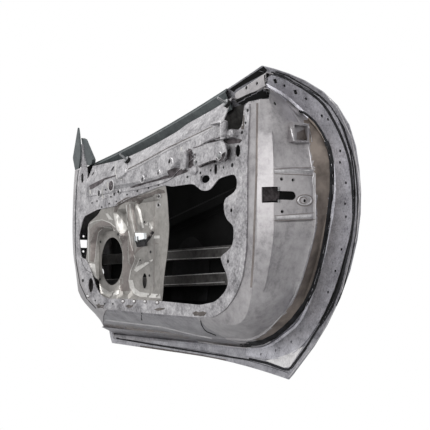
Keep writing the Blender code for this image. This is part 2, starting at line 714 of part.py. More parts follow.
def make_latch_end_panel():
    extras = [rib + k * rib_half_station for rib in rib_stations for k in (-2.6, -1, 0, 1, 2.6)]
    stations = station_list(0, latch_count, 3, extras)
    rows = [latch_surface(t) for t in stations]
    panel = sheet('latch_end_panel', len(stations) - 1, len(rows[0]) - 1,
                  lambda i, j: rows[i][j], panel_thickness, cast_metal, Vector((1, -1, 0)))
    tools = []
    shut_x = ridge_shares[5][0] * span
    reach = shut_x - crease_shares[5][0] * span
    slot_depth = latch_slot_depth_share * shut_depth
    for share, height in zip(latch_slot_shares, latch_slot_heights):
        place = (shut_x, share[0] * shut_depth, share[1] * rise)
        tools.append(block('slot', (reach, slot_depth, height), place, None))
    deep, high = latch_slot_shares[-1]
    tools.append(rod('slot_end', latch_slot_heights[-1] / 2, reach,
                     (shut_x, deep * shut_depth + slot_depth / 2, high * rise), (1, 0, 0), None))
    for deep, high in latch_hole_shares:
        tools.append(rod('hole', latch_hole / 2, reach, (shut_x, deep * shut_depth, high * rise),
                         (1, 0, 0), None, sides=10))
    for share in flange_square_shares + flange_hole_shares:
        x, z = spot(share)
        place = (x, skin_depth(x, z) - flange_lay, z)
        if share in flange_square_shares:
            tools.append(block('square', (flange_square, cut_overrun, flange_square), place, None))
        else:
            tools.append(rod('hole', flange_hole / 2, cut_overrun, place, (0, 1, 0), None,
                             sides=8))
    # the square hollow boss near the top of the shut face
    deep, high = square_boss_share[0] * shut_depth, square_boss_share[1] * rise
    row = latch_row(latch_station(high))
    across = row[9] - row[4]
    turn = (0, 0, -atan2(across.x, across.y))
    out = Vector((across.y, -across.x, 0)).normalized()
    stand, width, height = square_boss
    base = Vector((latch_face_x(deep, high), deep, high))
    boss = block('square_boss', square_boss, base + out * (stand / 2 - square_boss_sink), None)
    hollow = block('square_hollow', (stand, width - 2 * square_boss_wall,
                                     height - 2 * square_boss_wall),
                   base + out * stand / 2, None)
    for piece in (boss, hollow):
        piece.rotation_euler = turn
    combine(panel, [boss], 'UNION')
    return combine(panel, tools + [hollow], 'DIFFERENCE')


# Sill panel, which carries the latch end's last profile forward
def sill_front_profile():
    return profile(*sill_front_shares, band_start_shares[-1], band_depth_shares[-1],
                   ridge_depth_shares[-1])


def make_sill_panel():
    start = latch_profiles[-1]
    ends = sill_front_profile()
    seam = seat_gap * 1.5
    rows = []
    for k in range(sill_steps + 1):
        row = []
        for first, last in zip(start, ends):
            x = first[0] - seam + (last[0] - first[0] + seam) * k / sill_steps
            share = (first[0] - x) / (first[0] - last[0])
            z = first[2] + (last[2] - first[2]) * share
            drop = skin_depth(first[0], first[2]) - first[1]
            held = first[1] < shut_depth * ridge_depth_shares[-1] + ridge_lip
            y = first[1] + (last[1] - first[1]) * share if held else skin_depth(x, z) - drop
            row.append(Vector((x, y, z)))
        rows.append(row)
    for row in rows:
        row[8] = row[8] + Vector((0, ridge_lip / 3, ridge_lip / 3))
        row[9] = row[9] - Vector((0, ridge_lip / 3, ridge_lip / 3))
    return sheet('sill_panel', sill_steps, len(rows[0]) - 1, lambda i, j: rows[i][j],
                 panel_thickness, cast_metal, Vector((0, -1, 0)))


# Hinge end panel with a flat hinge face
def hinge_profile(crease, shoulder, edge, far, flange_height, start, margin, deep, foot):
    cx, cz = spot(crease)
    sx, sz = spot(shoulder)
    ex, ez = spot(edge)
    fx, fz = spot(far)
    lz = flange_height * rise
    lx = front_edge(lz) + edge_stretch(front_edge, lz) * (hem_width + hem_step + hem_clearance)
    inboard = Vector((cx - sx, cz - sz)).normalized() * frame_underlap
    face_start = start * shut_depth
    face_end = skin_depth(fx, fz) - margin * face_margin
    shoulder_y = panel_lay + deep * shoulder_depth

    def wall_spot(share, drop):
        x, z = fx + (lx - fx) * share, fz + (lz - fz) * share
        return x, skin_depth(x, z) - flange_lay - drop, z

    return [
        (cx + inboard.x, panel_lay, cz + inboard.y),
        (cx, panel_lay, cz),
        ((cx + sx) / 2, panel_lay + deep * shoulder_depth / 4, (cz + sz) / 2),
        (sx, shoulder_y, sz),
        ((sx + ex) / 2 - shoulder_depth / 4, (shoulder_y + face_start) / 2, (sz + ez) / 2),
        (ex, face_start, ez),
        ((ex + fx) / 2, (face_start + face_end) / 2, (ez + fz) / 2),
        (fx, face_end, fz),
        wall_spot(foot, groove_drop),
        wall_spot((1 + 2 * foot) / 3, 0),
        wall_spot(1, 0)]


def make_hinge_end_panel():
    profiles = [hinge_profile(*row) for row in zip(
        hinge_crease_shares, shoulder_shares, face_edge_shares, face_far_shares,
        hinge_flange_height_shares, face_start_shares, face_margin_shares,
        shoulder_depth_shares, wall_foot_shares)]
    # the last line follows the sill panel's front edge, a seam's width away
    sill = sill_front_profile()
    face_edge = tuple((p + q) / 2 for p, q in zip(sill[6], sill[7]))
    corner = [sill[0], sill[1], sill[2], sill[4], sill[6], face_edge, sill[7], sill[9], sill[11],
              sill[14], sill[15]]
    profiles.append([(x - corner_seam, y, z) for x, y, z in corner])
    last = len(profiles) - 1
    stations = station_list(0, last, 2)
    rows = [[Vector(smooth_at([row[j] for row in profiles], t)) for j in range(len(profiles[0]))]
            for t in stations]
    panel = sheet('hinge_end_panel', len(stations) - 1, len(rows[0]) - 1,
                  lambda i, j: rows[i][j], panel_thickness, cast_metal, Vector((-1, -1, 0)))
    tools = []
    reach = cut_overrun * 2
    for deep, high, width, height in hinge_face_holes():
        place = (hinge_face_x, deep, high)
        if width == height:
            tools.append(rod('hole', width / 2, reach, place, (1, 0, 0), None, sides=12))
        else:
            tools.append(block('slot', (reach, width, height), place, None))
    return combine(panel, tools, 'DIFFERENCE')


def hinge_face_holes():
    holes = []
    for share in (hinge_share, lower_hinge_share):
        for side in (-1, 1):
            holes.append((hinge_plate_depth_share * shut_depth,
                          share * rise + side * hinge_bolt_pitch / 2,
                          hinge_bolt_hole, hinge_bolt_hole))
    deep = check_depth_share * shut_depth
    holes.append((deep, check_share * rise, *check_hole))
    for side in (-1, 1):
        holes.append((deep, check_share * rise + side * check_bolt_pitch / 2,
                      check_bolt_hole, check_bolt_hole))
    holes.append((harness_depth_share * shut_depth, harness_share * rise, harness_diameter,
                  harness_diameter))
    return holes


# Inner frame, one casting
def make_inner_frame():
    outline = rounded([spot(share) for share in frame_shares], frame_corner)
    opening = rounded([spot(share) for share in opening_shares], frame_corner)
    holes = [oval(spot(share), *size) for share, size in zip(frame_hole_shares, frame_hole_sizes)]
    frame = flat_plate('inner_frame', [outline, opening] + holes, 0, frame_thickness, cast_metal)
    bosses = [rod('boss', boss_radius, plate_standoff + frame_thickness / 2,
                  (*spot(share)[:1], (frame_thickness / 2 - plate_standoff) / 2, spot(share)[1]),
                  (0, 1, 0), None, sides=12) for share in boss_shares]
    return combine(frame, bosses, 'UNION')


# Embossed carrier
def emboss(x, z):
    def mask(centre, half, turn, corner, deep):
        cx, cz = spot(centre)
        dx, dz = x - cx, z - cz
        angle = turn * pi / 180
        dx, dz = dx * cos(angle) + dz * sin(angle), dz * cos(angle) - dx * sin(angle)
        wide, tall = half[0] * span, half[1] * rise
        out = max(abs(dx) - wide, abs(dz) - tall,
                  (abs(dx) + abs(dz) - corner * (wide + tall)) / sqrt(2))
        return smooth_step(0.5 - out / emboss_slope) * deep * pocket_depth

    return max(0.0, max(mask(*item) for item in emboss_shares)
               - max(mask(*item) for item in raised_rib_shares))


def grid_lines(low, high, axis):
    # grid lines at both ends of every slope, filled finely across the ribs and coarsely elsewhere
    size = (span, rise)[axis]
    edges, ribs = [], []
    for centre, half, *_ in emboss_shares:
        for side in (-1, 1):
            edge = (centre[axis] + side * half[axis]) * size
            edges += [edge - emboss_slope / 2, edge + emboss_slope / 2]
    for centre, half, turn, *_ in raised_rib_shares:
        wide, tall = half[0] * span, half[1] * rise
        reach = wide * cos(turn * pi / 180) + tall * sin(turn * pi / 180)
        if axis == 0:
            ribs.append((centre[0] * span - reach, centre[0] * span + reach))
            edges += ribs[-1]
    stops = [low]
    for edge in sorted(edges):
        if stops[-1] + carrier_line_gap < edge < high - carrier_line_gap:
            stops.append(edge)
    stops.append(high)
    lines = [low]
    for first, last in zip(stops, stops[1:]):
        ribbed = any(start < (first + last) / 2 < end for start, end in ribs)
        count = ceil((last - first) / (carrier_rib_pitch if ribbed else carrier_pitch))
        lines += [first + (last - first) * k / count for k in range(1, count + 1)]
    return lines


def make_carrier_panel():
    outline = [spot(share) for share in carrier_shares]
    margin = cut_overrun / 4
    columns = grid_lines(min(p[0] for p in outline) - margin,
                         max(p[0] for p in outline) + margin, 0)
    rows = grid_lines(min(p[1] for p in outline) - margin,
                      max(p[1] for p in outline) + margin, 1)

    def place(i, j):
        return Vector((columns[i], panel_lay + emboss(columns[i], rows[j]), rows[j]))

    panel = sheet('carrier_panel', len(columns) - 1, len(rows) - 1, place, carrier_thickness,
                  sheet_metal, Vector((0, -1, 0)))
    trim = flat_plate('carrier_trim', [rounded(outline, carrier_corner)], -cut_overrun,
                      pocket_depth + 3 * cut_overrun, None)
    combine(panel, [trim], 'INTERSECT')
    middle = panel_lay + pocket_depth / 2
    reach = pocket_depth + 2 * cut_overrun
    sx, sz = spot(speaker_share)
    tools = [rod('speaker', speaker_diameter / 2, reach, (sx, middle, sz), (0, 1, 0), None,
                 sides=40)]
    for share, size in zip(carrier_hole_shares, carrier_hole_sizes):
        tools.append(flat_plate('hole', [oval(spot(share), *size)], -cut_overrun,
                                pocket_depth + 3 * cut_overrun, None))
    return combine(panel, tools, 'DIFFERENCE')


# Inner belt rail
def rail_line(t):
    x = smooth_at([(share,) for share in rail_place_shares], t)[0] * span
    low, crease, top = (smooth_at([(share,) for share in shares], t)[0] * rise for shares in (
        rail_low_shares, rail_crease_shares, rail_top_shares))
    lay = -rail_thickness - seat_gap
    stand = smooth_at([(share,) for share in rail_stand_shares], t)[0] * rail_stand
    return [
        Vector((x, lay, low - rail_flange)),
        Vector((x, lay, low - rail_chamfer / 4)),
        Vector((x, -stand, low + rail_chamfer)),
        Vector((x, -stand, crease)),
        Vector((x, rail_lean, top)),
        Vector((x, rail_lean + rail_lip, top + rail_chamfer / 4))]


def make_belt_rail():
    stations = station_list(0, len(rail_place_shares) - 1, 3)
    rows = [rail_line(t) for t in stations]
    rail = sheet('belt_rail', len(stations) - 1, len(rows[0]) - 1, lambda i, j: rows[i][j],
                 rail_thickness, cast_metal, Vector((0, -1, 0)))
    bx, bz = spot(boss_box_share)
    width, depth, height = boss_box
    body = block('boss', boss_box, (bx, -rail_stand - depth / 2 + rail_thickness, bz), None)
    round_edges(body, boss_box_wall * 2)
    combine(rail, [body], 'UNION')
    inside = block('hollow', (width, depth - boss_box_wall, height - 2 * boss_box_wall),
                   (bx - boss_box_wall, -rail_stand - depth / 2 - boss_box_wall,
                    bz - boss_box_wall), None)
    return combine(rail, [inside], 'DIFFERENCE')


def round_edges(piece, width, segments=2):
    bevel = piece.modifiers.new('edges', 'BEVEL')
    bevel.width = width
    bevel.segments = segments
    bevel.limit_method = 'ANGLE'
    return piece


# Outer belt rail
def make_outer_belt_rail():
    first, last = strip_front_share * span, strip_rear_share * span
    steps = 14

    def place(i, j):
        x = first + (last - first) * i / steps
        top = belt_height(x)
        gap = skin_thickness + skin_clearance + panel_thickness
        heights = (top - strip_height, top - strip_lip, top - strip_lip / 3, top)
        offsets = (strip_offset, strip_offset, gap + panel_thickness, gap)
        z = heights[j]
        return Vector((x, skin_depth(x, z) - offsets[j], z))

    return sheet('outer_belt_rail', steps, 3, place, panel_thickness, dark_sheet,
                 Vector((0, -1, 0)))


# Corner bracket
def make_corner_bracket():
    first, last = rail_place_shares[-1] * span + seat_gap * 2, bracket_rear_share * span
    steps = 4

    def place(i, j):
        f = i / steps
        x = first + (last - first) * f
        low = (bracket_low_shares[0] + (bracket_low_shares[1] - bracket_low_shares[0]) * f) * rise
        top = (bracket_high_shares[0]
               + (bracket_high_shares[1] - bracket_high_shares[0]) * f) * rise
        roll = bracket_thickness
        points = ((bracket_depth + roll, low - roll / 2), (bracket_depth, low + roll / 2),
                  (bracket_depth, top - roll / 2), (bracket_depth + roll, top + roll / 2),
                  (bracket_depth + bracket_reach, top + roll / 2))
        return Vector((x, points[j][0], points[j][1]))

    bracket = sheet('corner_bracket', steps, 4, place, panel_thickness, cast_metal,
                    Vector((0, -1, 0)))
    holes = []
    for share in bracket_hole_shares:
        x, z = spot(share)
        holes.append(rod('hole', bracket_hole / 2, bracket_reach, (x, bracket_depth, z),
                         (0, 1, 0), None, sides=10))
    return combine(bracket, holes, 'DIFFERENCE')


# Impact beams with their feet
def make_beam(name, shares):
    middle = door_depth - beam_setback
    start = hinge_face_x + panel_thickness + bracket_thickness + beam_end_gap
    foot_z = shares[1] * rise
    end = min(latch_inside(middle + i * beam_width / 2, foot_z + k * beam_height / 2)
              for i in (-1, 1) for k in (-1, 1)) - foot_room - seat_gap
    slope = (shares[1] - shares[0]) * rise / (end - start)
    length = hypot(end - start, (shares[1] - shares[0]) * rise)
    outer = block(name, (length, beam_width, beam_height), (0, 0, 0), beam_metal)
    round_edges(outer, beam_corner)
    inner = block(name + '_bore', (length + cut_overrun, beam_width - 2 * beam_wall,
                                   beam_height - 2 * beam_wall), (0, 0, 0), None)
    for piece in (outer, inner):
        piece.rotation_euler = (0, -slope, 0)
        piece.location = ((start + end) / 2, middle, (shares[0] + shares[1]) / 2 * rise)
    combine(outer, [inner], 'DIFFERENCE')
    block(name + '_front_foot', (bracket_thickness, foot_width, foot_height),
          (hinge_face_x + panel_thickness + seat_gap + bracket_thickness / 2,
           middle - foot_offset_share * foot_width, shares[0] * rise), cast_metal)
    make_rear_foot(name + '_rear_foot', middle, foot_z)
    return outer


def latch_station(z):
    # station of the latch end panel at height z on the shut face
    low, high = 0.0, float(latch_count)
    for _ in range(30):
        middle = (low + high) / 2
        if latch_row(middle)[6].z > z:
            low = middle
        else:
            high = middle
    return low


def latch_face_x(y, z):
    row = latch_row(latch_station(z))
    a, b = row[4], row[9]
    return a.x + (b.x - a.x) * (y - a.y) / (b.y - a.y)


def latch_inside(y, z):
    return latch_face_x(y, z) - panel_thickness - shut_recess - seat_gap


def make_rear_foot(name, middle, height):
    # a pad shaped to the inner side of the shut face
    steps = 4

    def place(i, j):
        z = height + foot_height * (i / steps - 0.5)
        y = middle + foot_width * (j / steps - 0.5 - foot_offset_share)
        return Vector((latch_inside(y, z) - skin_clearance - seat_gap, y, z))

    return sheet(name, steps, steps, place, bracket_thickness, cast_metal, Vector((1, 0, 0)))


# Hinge plates and check strap plate, inside the hinge face
def make_hinge_plates():
    thick = hinge_plate[0]
    x = hinge_face_x + panel_thickness + seat_gap + thick / 2
    deep = hinge_plate_depth_share * shut_depth
    for name, share in (('upper_hinge_plate', hinge_share), ('lower_hinge_plate',
                                                             lower_hinge_share)):
        plate = block(name, hinge_plate, (x, deep, share * rise), steel)
        holes = [rod('hole', hinge_bolt_hole / 2, thick + cut_overrun,
                     (x, deep, share * rise + side * hinge_bolt_pitch / 2), (1, 0, 0), None,
                     sides=12) for side in (-1, 1)]
        combine(plate, holes, 'DIFFERENCE')
    thick = check_plate[0]
    x = hinge_face_x + panel_thickness + seat_gap + thick / 2
    deep = check_depth_share * shut_depth
    plate = block('check_strap_plate', check_plate, (x, deep, check_share * rise), steel)
    tools = [block('slot', (thick + cut_overrun, *check_hole), (x, deep, check_share * rise),
                   None)]
    for side in (-1, 1):
        tools.append(rod('hole', check_bolt_hole / 2, thick + cut_overrun,
                         (x, deep, check_share * rise + side * check_bolt_pitch / 2), (1, 0, 0),
                         None, sides=12))
    combine(plate, tools, 'DIFFERENCE')


# Latch reinforcement behind the latch pad
def make_latch_plate():
    first, last = latch_plate_stations
    steps = 4

    def place(i, j):
        row = latch_row(first + (last - first) * i / steps)
        a, b = row[4], row[9]
        share = latch_plate_shares[0] + (latch_plate_shares[1] - latch_plate_shares[0]) * j / steps
        return a + (b - a) * share - Vector((panel_thickness + seat_gap * 2, 0, 0))

    plate = sheet('latch_plate', steps, steps, place, latch_plate_thickness, steel,
                  Vector((1, 0, 0)))
    x = ridge_shares[5][0] * span
    share = latch_slot_shares[1]
    reach = x - crease_shares[5][0] * span
    slot = block('slot', (reach, 2 * latch_slot_depth_share * shut_depth, latch_slot_heights[1]),
                 (x, share[0] * shut_depth, share[1] * rise), None)
    holes = [rod('hole', latch_hole / 2, reach, (x, deep * shut_depth, high * rise),
                 (1, 0, 0), None, sides=10) for deep, high in latch_hole_shares[:3]]
    return combine(plate, [slot] + holes, 'DIFFERENCE')


# Mirror triangle
def make_mirror_triangle():
    sail = [(x, z + seat_gap) for x, z in (spot(share) for share in sail_shares)]
    flat_plate('mirror_sail', [rounded(sail, plate_corner)], sail_depth, sail_thickness,
               dark_sheet)
    strut = [spot(share) for share in strut_shares]
    flat_plate('sail_strut', [rounded(strut, plate_corner / 2)],
               sail_depth + sail_thickness + seat_gap + mirror_plate_thickness + seat_gap,
               strut_depth, dark_sheet)
    plate = [spot(share) for share in mirror_plate_shares]
    holes = [oval(spot(share), mirror_hole, mirror_hole) for share in mirror_hole_shares]
    flat_plate('mirror_plate', [rounded(plate, plate_corner)] + holes,
               sail_depth + sail_thickness + seat_gap, mirror_plate_thickness, cast_metal)


# Window stabilisers: a stud with its washer in one, over a rubber pad
def make_stabilisers():
    for name, share in zip(('front', 'rear'), stud_shares):
        x, z = spot(share)
        t = rail_station(x)
        row = rail_line(t)
        along = (z - row[3].z) / (row[4].z - row[3].z)
        base = row[3] + (row[4] - row[3]) * along
        base.x = x
        slope = (row[4] - row[3]).normalized()
        out = Vector((0, -slope.z, slope.y))
        pad_radius, pad_length = stud_rubber
        washer_radius, washer_length = stud_washer
        rod(name + '_stabiliser_pad', pad_radius, pad_length,
            base + out * (skin_clearance + pad_length / 2), out, rubber, sides=20)
        start = skin_clearance + seat_gap + pad_length
        washer = rod(name + '_stabiliser_stud', washer_radius, washer_length,
                     base + out * (start + washer_length / 2), out, steel, sides=16)
        start += washer_length / 2
        shaft = rod('shaft', stud_radius, stud_length - start,
                    base + out * (start + (stud_length - start) / 2), out, None, sides=10)
        combine(washer, [shaft], 'UNION')


def rail_station(x):
    low, high = 0.0, float(len(rail_place_shares) - 1)
    for _ in range(30):
        middle = (low + high) / 2
        if rail_line(middle)[0].x < x:
            low = middle
        else:
            high = middle
    return low


# Handle plate on the frame's bosses
def make_handle_plate():
    outline = rounded([spot(share) for share in handle_plate_shares], plate_corner)
    holes = [oval(spot(share), plate_bolt_hole, plate_bolt_hole) for share in boss_shares]
    flat_plate('handle_plate', [outline] + holes,
               -plate_standoff - seat_gap - handle_plate_thickness, handle_plate_thickness,
               cast_metal)


# Stiffener and damping pad on the inner side of the skin
def make_skin_stiffener():
    first, last = (spot(share) for share in stiffener_shares)
    half = stiffener_width / 2
    lay = skin_thickness + skin_clearance + panel_thickness
    lines = ((-half, lay), (-half * 0.7, lay), (-half * 0.4, lay + stiffener_height),
             (half * 0.4, lay + stiffener_height), (half * 0.7, lay), (half, lay))

    def place(i, j):
        f = i / stiffener_steps
        x = first[0] + (last[0] - first[0]) * f
        z = first[1] + (last[1] - first[1]) * f + lines[j][0]
        return Vector((x, skin_depth(x, z) - lines[j][1], z))

    sheet('skin_stiffener', stiffener_steps, len(lines) - 1, place, panel_thickness, dark_sheet,
          Vector((0, -1, 0)))


def make_damping_pad():
    (left, right), (low, high) = damping_shares
    steps = 10
    lay = skin_thickness + skin_clearance + damping_thickness

    def place(i, j):
        f, g = i / steps, j / steps
        x = (left + (right - left) * f) * span
        arch = damping_bulge_share * 4 * f * (1 - f)
        z = (low + (high + arch - low) * g) * rise
        return Vector((x, skin_depth(x, z) - lay, z))

    sheet('damping_pad', steps, steps, place, damping_thickness, mastic, Vector((0, -1, 0)))


# Small cable clip on the carrier
def make_carrier_clip():
    x, z = spot(clip_share)
    width, depth, height = clip_size
    highest = min(emboss(x + i * width / 2, z + k * height / 2)
                  for i in (-1, 0, 1) for k in (-1, 0, 1))
    y = panel_lay + highest - depth / 2 - skin_clearance
    clip = block('carrier_clip', clip_size, (x, y, z), steel)
    slot = block('slot', (width * 0.5, depth * 1.2, height * 1.2),
                 (x, y - depth * 0.4, z), None)
    combine(clip, [slot], 'DIFFERENCE')


make_outer_skin()
make_latch_end_panel()
make_sill_panel()
make_hinge_end_panel()
make_inner_frame()
make_carrier_panel()
make_belt_rail()
make_outer_belt_rail()
make_corner_bracket()
make_beam('upper_beam', upper_beam_shares)
make_beam('lower_beam', lower_beam_shares)
make_hinge_plates()
make_latch_plate()
make_mirror_triangle()
make_stabilisers()
make_handle_plate()
make_skin_stiffener()
make_damping_pad()
make_carrier_clip()

# Everything hangs from one empty, which puts the row's origin on the upper hinge face
door = bpy.data.objects.new('door', None)
parts.objects.link(door)
for piece in list(bpy.data.objects):
    if piece is not door:
        piece.parent = door
door.location = (-hinge_face_x, -hinge_plate_depth_share * shut_depth, -hinge_share * rise)
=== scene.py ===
import math

import bmesh
import bpy
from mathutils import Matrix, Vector
from mathutils.bvhtree import BVHTree


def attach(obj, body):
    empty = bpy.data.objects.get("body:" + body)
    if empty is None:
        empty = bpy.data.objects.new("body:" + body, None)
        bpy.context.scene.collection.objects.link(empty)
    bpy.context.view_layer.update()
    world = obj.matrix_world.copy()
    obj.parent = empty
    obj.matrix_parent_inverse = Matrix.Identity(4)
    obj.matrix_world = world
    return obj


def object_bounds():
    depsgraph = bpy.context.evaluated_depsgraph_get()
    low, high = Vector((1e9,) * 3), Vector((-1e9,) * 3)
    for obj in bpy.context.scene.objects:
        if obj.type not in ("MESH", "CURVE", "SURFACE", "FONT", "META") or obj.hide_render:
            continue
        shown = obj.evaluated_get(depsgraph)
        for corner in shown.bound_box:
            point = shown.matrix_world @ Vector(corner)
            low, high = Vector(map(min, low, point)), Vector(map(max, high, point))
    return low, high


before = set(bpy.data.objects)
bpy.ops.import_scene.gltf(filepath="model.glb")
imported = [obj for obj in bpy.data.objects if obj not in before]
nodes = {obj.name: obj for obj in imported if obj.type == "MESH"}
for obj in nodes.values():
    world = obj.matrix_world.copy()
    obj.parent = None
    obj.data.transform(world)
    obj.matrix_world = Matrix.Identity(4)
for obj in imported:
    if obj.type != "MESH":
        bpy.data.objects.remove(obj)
cadBox = [list(corner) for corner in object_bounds()]
print("frame loaded")

# where the door's own layout (frame corner at 0, cabin face at y 0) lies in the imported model
layoutShift = Vector((0.04018, -0.062335, -0.380))


def layout(x, y, z):
    return Vector((x, y, z)) + layoutShift


def linear(hexColour):
    # sRGB hex to the linear values that the shader sockets take
    values = []
    for k in (0, 2, 4):
        c = int(hexColour[k:k + 2], 16) / 255
        values.append(c / 12.92 if c <= 0.04045 else ((c + 0.055) / 1.055) ** 2.4)
    return (*values, 1.0)


def addNode(tree, kind, values=None, stops=(), **settings):
    # values are sockets to link or numbers to set, stops are the places and colours of a ramp
    node = tree.nodes.new("ShaderNode" + kind)
    for key, value in settings.items():
        setattr(node, key, value)
    for key, value in (values or {}).items():
        if isinstance(value, bpy.types.NodeSocket):
            tree.links.new(value, node.inputs[key])
        else:
            node.inputs[key].default_value = value
    if stops:
        while len(node.color_ramp.elements) < len(stops):
            node.color_ramp.elements.new(0.5)
        for element, (place, colour) in zip(node.color_ramp.elements, stops):
            element.position = place
            element.color = colour
    return node


mm = 1000  # object coordinates are metres, so a pattern of one mm has this scale


def newMaterial(name):
    material = bpy.data.materials.new(name)
    material.use_nodes = True
    tree = material.node_tree
    tree.nodes.clear()
    shader = addNode(tree, "BsdfPrincipled")
    addNode(tree, "OutputMaterial", {"Surface": shader.outputs[0]})
    return material, tree, shader


# stains of bare metal: each finish has the size of its large ones, the rest is worked out
oxide = {
    "large": {"Detail": 5.0, "Roughness": 0.62, "Distortion": 0.4},
    "small": {"Detail": 5.0, "Roughness": 0.75}, "smallPerLarge": 7, "smallShare": 0.55,
    "toneStops": (0.36, 0.50, 0.64), "roughStops": (0.35, 0.65),
    "marks": {"Detail": 6.0, "Roughness": 0.8, "Distortion": 1.2}, "marksPerLarge": 4,
    "marksStretch": (1, 1, 0.45), "markStops": (0.53, 0.66), "markColour": "3C3A3C",
    "grain": {"Detail": 3.0, "Roughness": 0.6},
    "grainMm": 1.111,  # real grain is finer, drawn as coarse as it needs to show
    "grainStrength": 0.25, "grainDepth": 0.0006, "waveStrength": 0.35, "waveDepth": 0.0012}


def greyStops(places, values):
    return [(place, (value, value, value, 1)) for place, value in zip(places, values)]


def makeBareMetal(name, light, middle, dark, stainMm, roughness, metallic, grain, spots=0.0):
    material, tree, shader = newMaterial(name)
    place = addNode(tree, "TexCoord").outputs["Object"]
    scale = mm / stainMm
    large = addNode(tree, "TexNoise", {"Vector": place, "Scale": scale,
                                       **oxide["large"]}).outputs[0]
    small = addNode(tree, "TexNoise", {"Vector": place, "Scale": scale * oxide["smallPerLarge"],
                                       **oxide["small"]}).outputs[0]
    share = oxide["smallShare"]
    tone = addNode(tree, "Math", {0: large, 1: 1 - share}, operation="MULTIPLY").outputs[0]
    tone = addNode(tree, "Math", {0: small, 1: share, 2: tone},
                   operation="MULTIPLY_ADD").outputs[0]
    colours = [linear(dark), linear(middle), linear(light)]
    colour = addNode(tree, "ValToRGB", {0: tone},
                     stops=list(zip(oxide["toneStops"], colours))).outputs[0]
    if spots:
        # dark handling marks and drips, drawn out upright
        stretched = addNode(tree, "Mapping", {"Vector": place, "Scale": oxide["marksStretch"]})
        marks = addNode(tree, "TexNoise", {"Vector": stretched.outputs[0],
                                           "Scale": scale * oxide["marksPerLarge"],
                                           **oxide["marks"]}).outputs[0]
        marks = addNode(tree, "ValToRGB", {0: marks},
                        stops=greyStops(oxide["markStops"], (0.0, spots))).outputs[0]
        colour = addNode(tree, "Mix", {0: marks, 6: colour, 7: linear(oxide["markColour"])},
                         data_type="RGBA").outputs[2]
    rough = addNode(tree, "ValToRGB", {0: small},
                    stops=greyStops(oxide["roughStops"], roughness)).outputs[0]
    fine = addNode(tree, "TexNoise", {"Vector": place, "Scale": mm / oxide["grainMm"],
                                      **oxide["grain"]}).outputs[0]
    bump = addNode(tree, "Bump", {"Height": fine, "Strength": oxide["grainStrength"] * grain,
                                  "Distance": oxide["grainDepth"]})
    waves = addNode(tree, "Bump", {"Height": large, "Strength": oxide["waveStrength"],
                                   "Distance": oxide["waveDepth"], "Normal": bump.outputs[0]})
    shader.inputs["Metallic"].default_value = metallic
    tree.links.new(colour, shader.inputs["Base Color"])
    tree.links.new(rough, shader.inputs["Roughness"])
    tree.links.new(waves.outputs[0], shader.inputs["Normal"])
    return material


# coated, moulded and filled surfaces: one faint mottle, a fine grain and little shine
plain = {"mottle": {"Detail": 4.0, "Roughness": 0.6}, "mottleStops": (0.4, 0.6),
         "grain": {"Detail": 3.0}, "grainMm": 1.429, "strength": 0.2, "depth": 0.0004,
         "shine": 0.2}


def makePlain(name, dark, light, mottleMm, roughness, metallic=0.0):
    material, tree, shader = newMaterial(name)
    place = addNode(tree, "TexCoord").outputs["Object"]
    mottle = addNode(tree, "TexNoise", {"Vector": place, "Scale": mm / mottleMm,
                                        **plain["mottle"]}).outputs[0]
    colour = addNode(tree, "ValToRGB", {0: mottle}, stops=list(zip(
        plain["mottleStops"], (linear(dark), linear(light))))).outputs[0]
    fine = addNode(tree, "TexNoise", {"Vector": place, "Scale": mm / plain["grainMm"],
                                      **plain["grain"]}).outputs[0]
    bump = addNode(tree, "Bump", {"Height": fine, "Strength": plain["strength"],
                                  "Distance": plain["depth"]})
    tree.links.new(colour, shader.inputs["Base Color"])
    shader.inputs["Roughness"].default_value = roughness
    shader.inputs["Metallic"].default_value = metallic
    shader.inputs["Specular IOR Level"].default_value = plain["shine"]
    tree.links.new(bump.outputs[0], shader.inputs["Normal"])
    return material


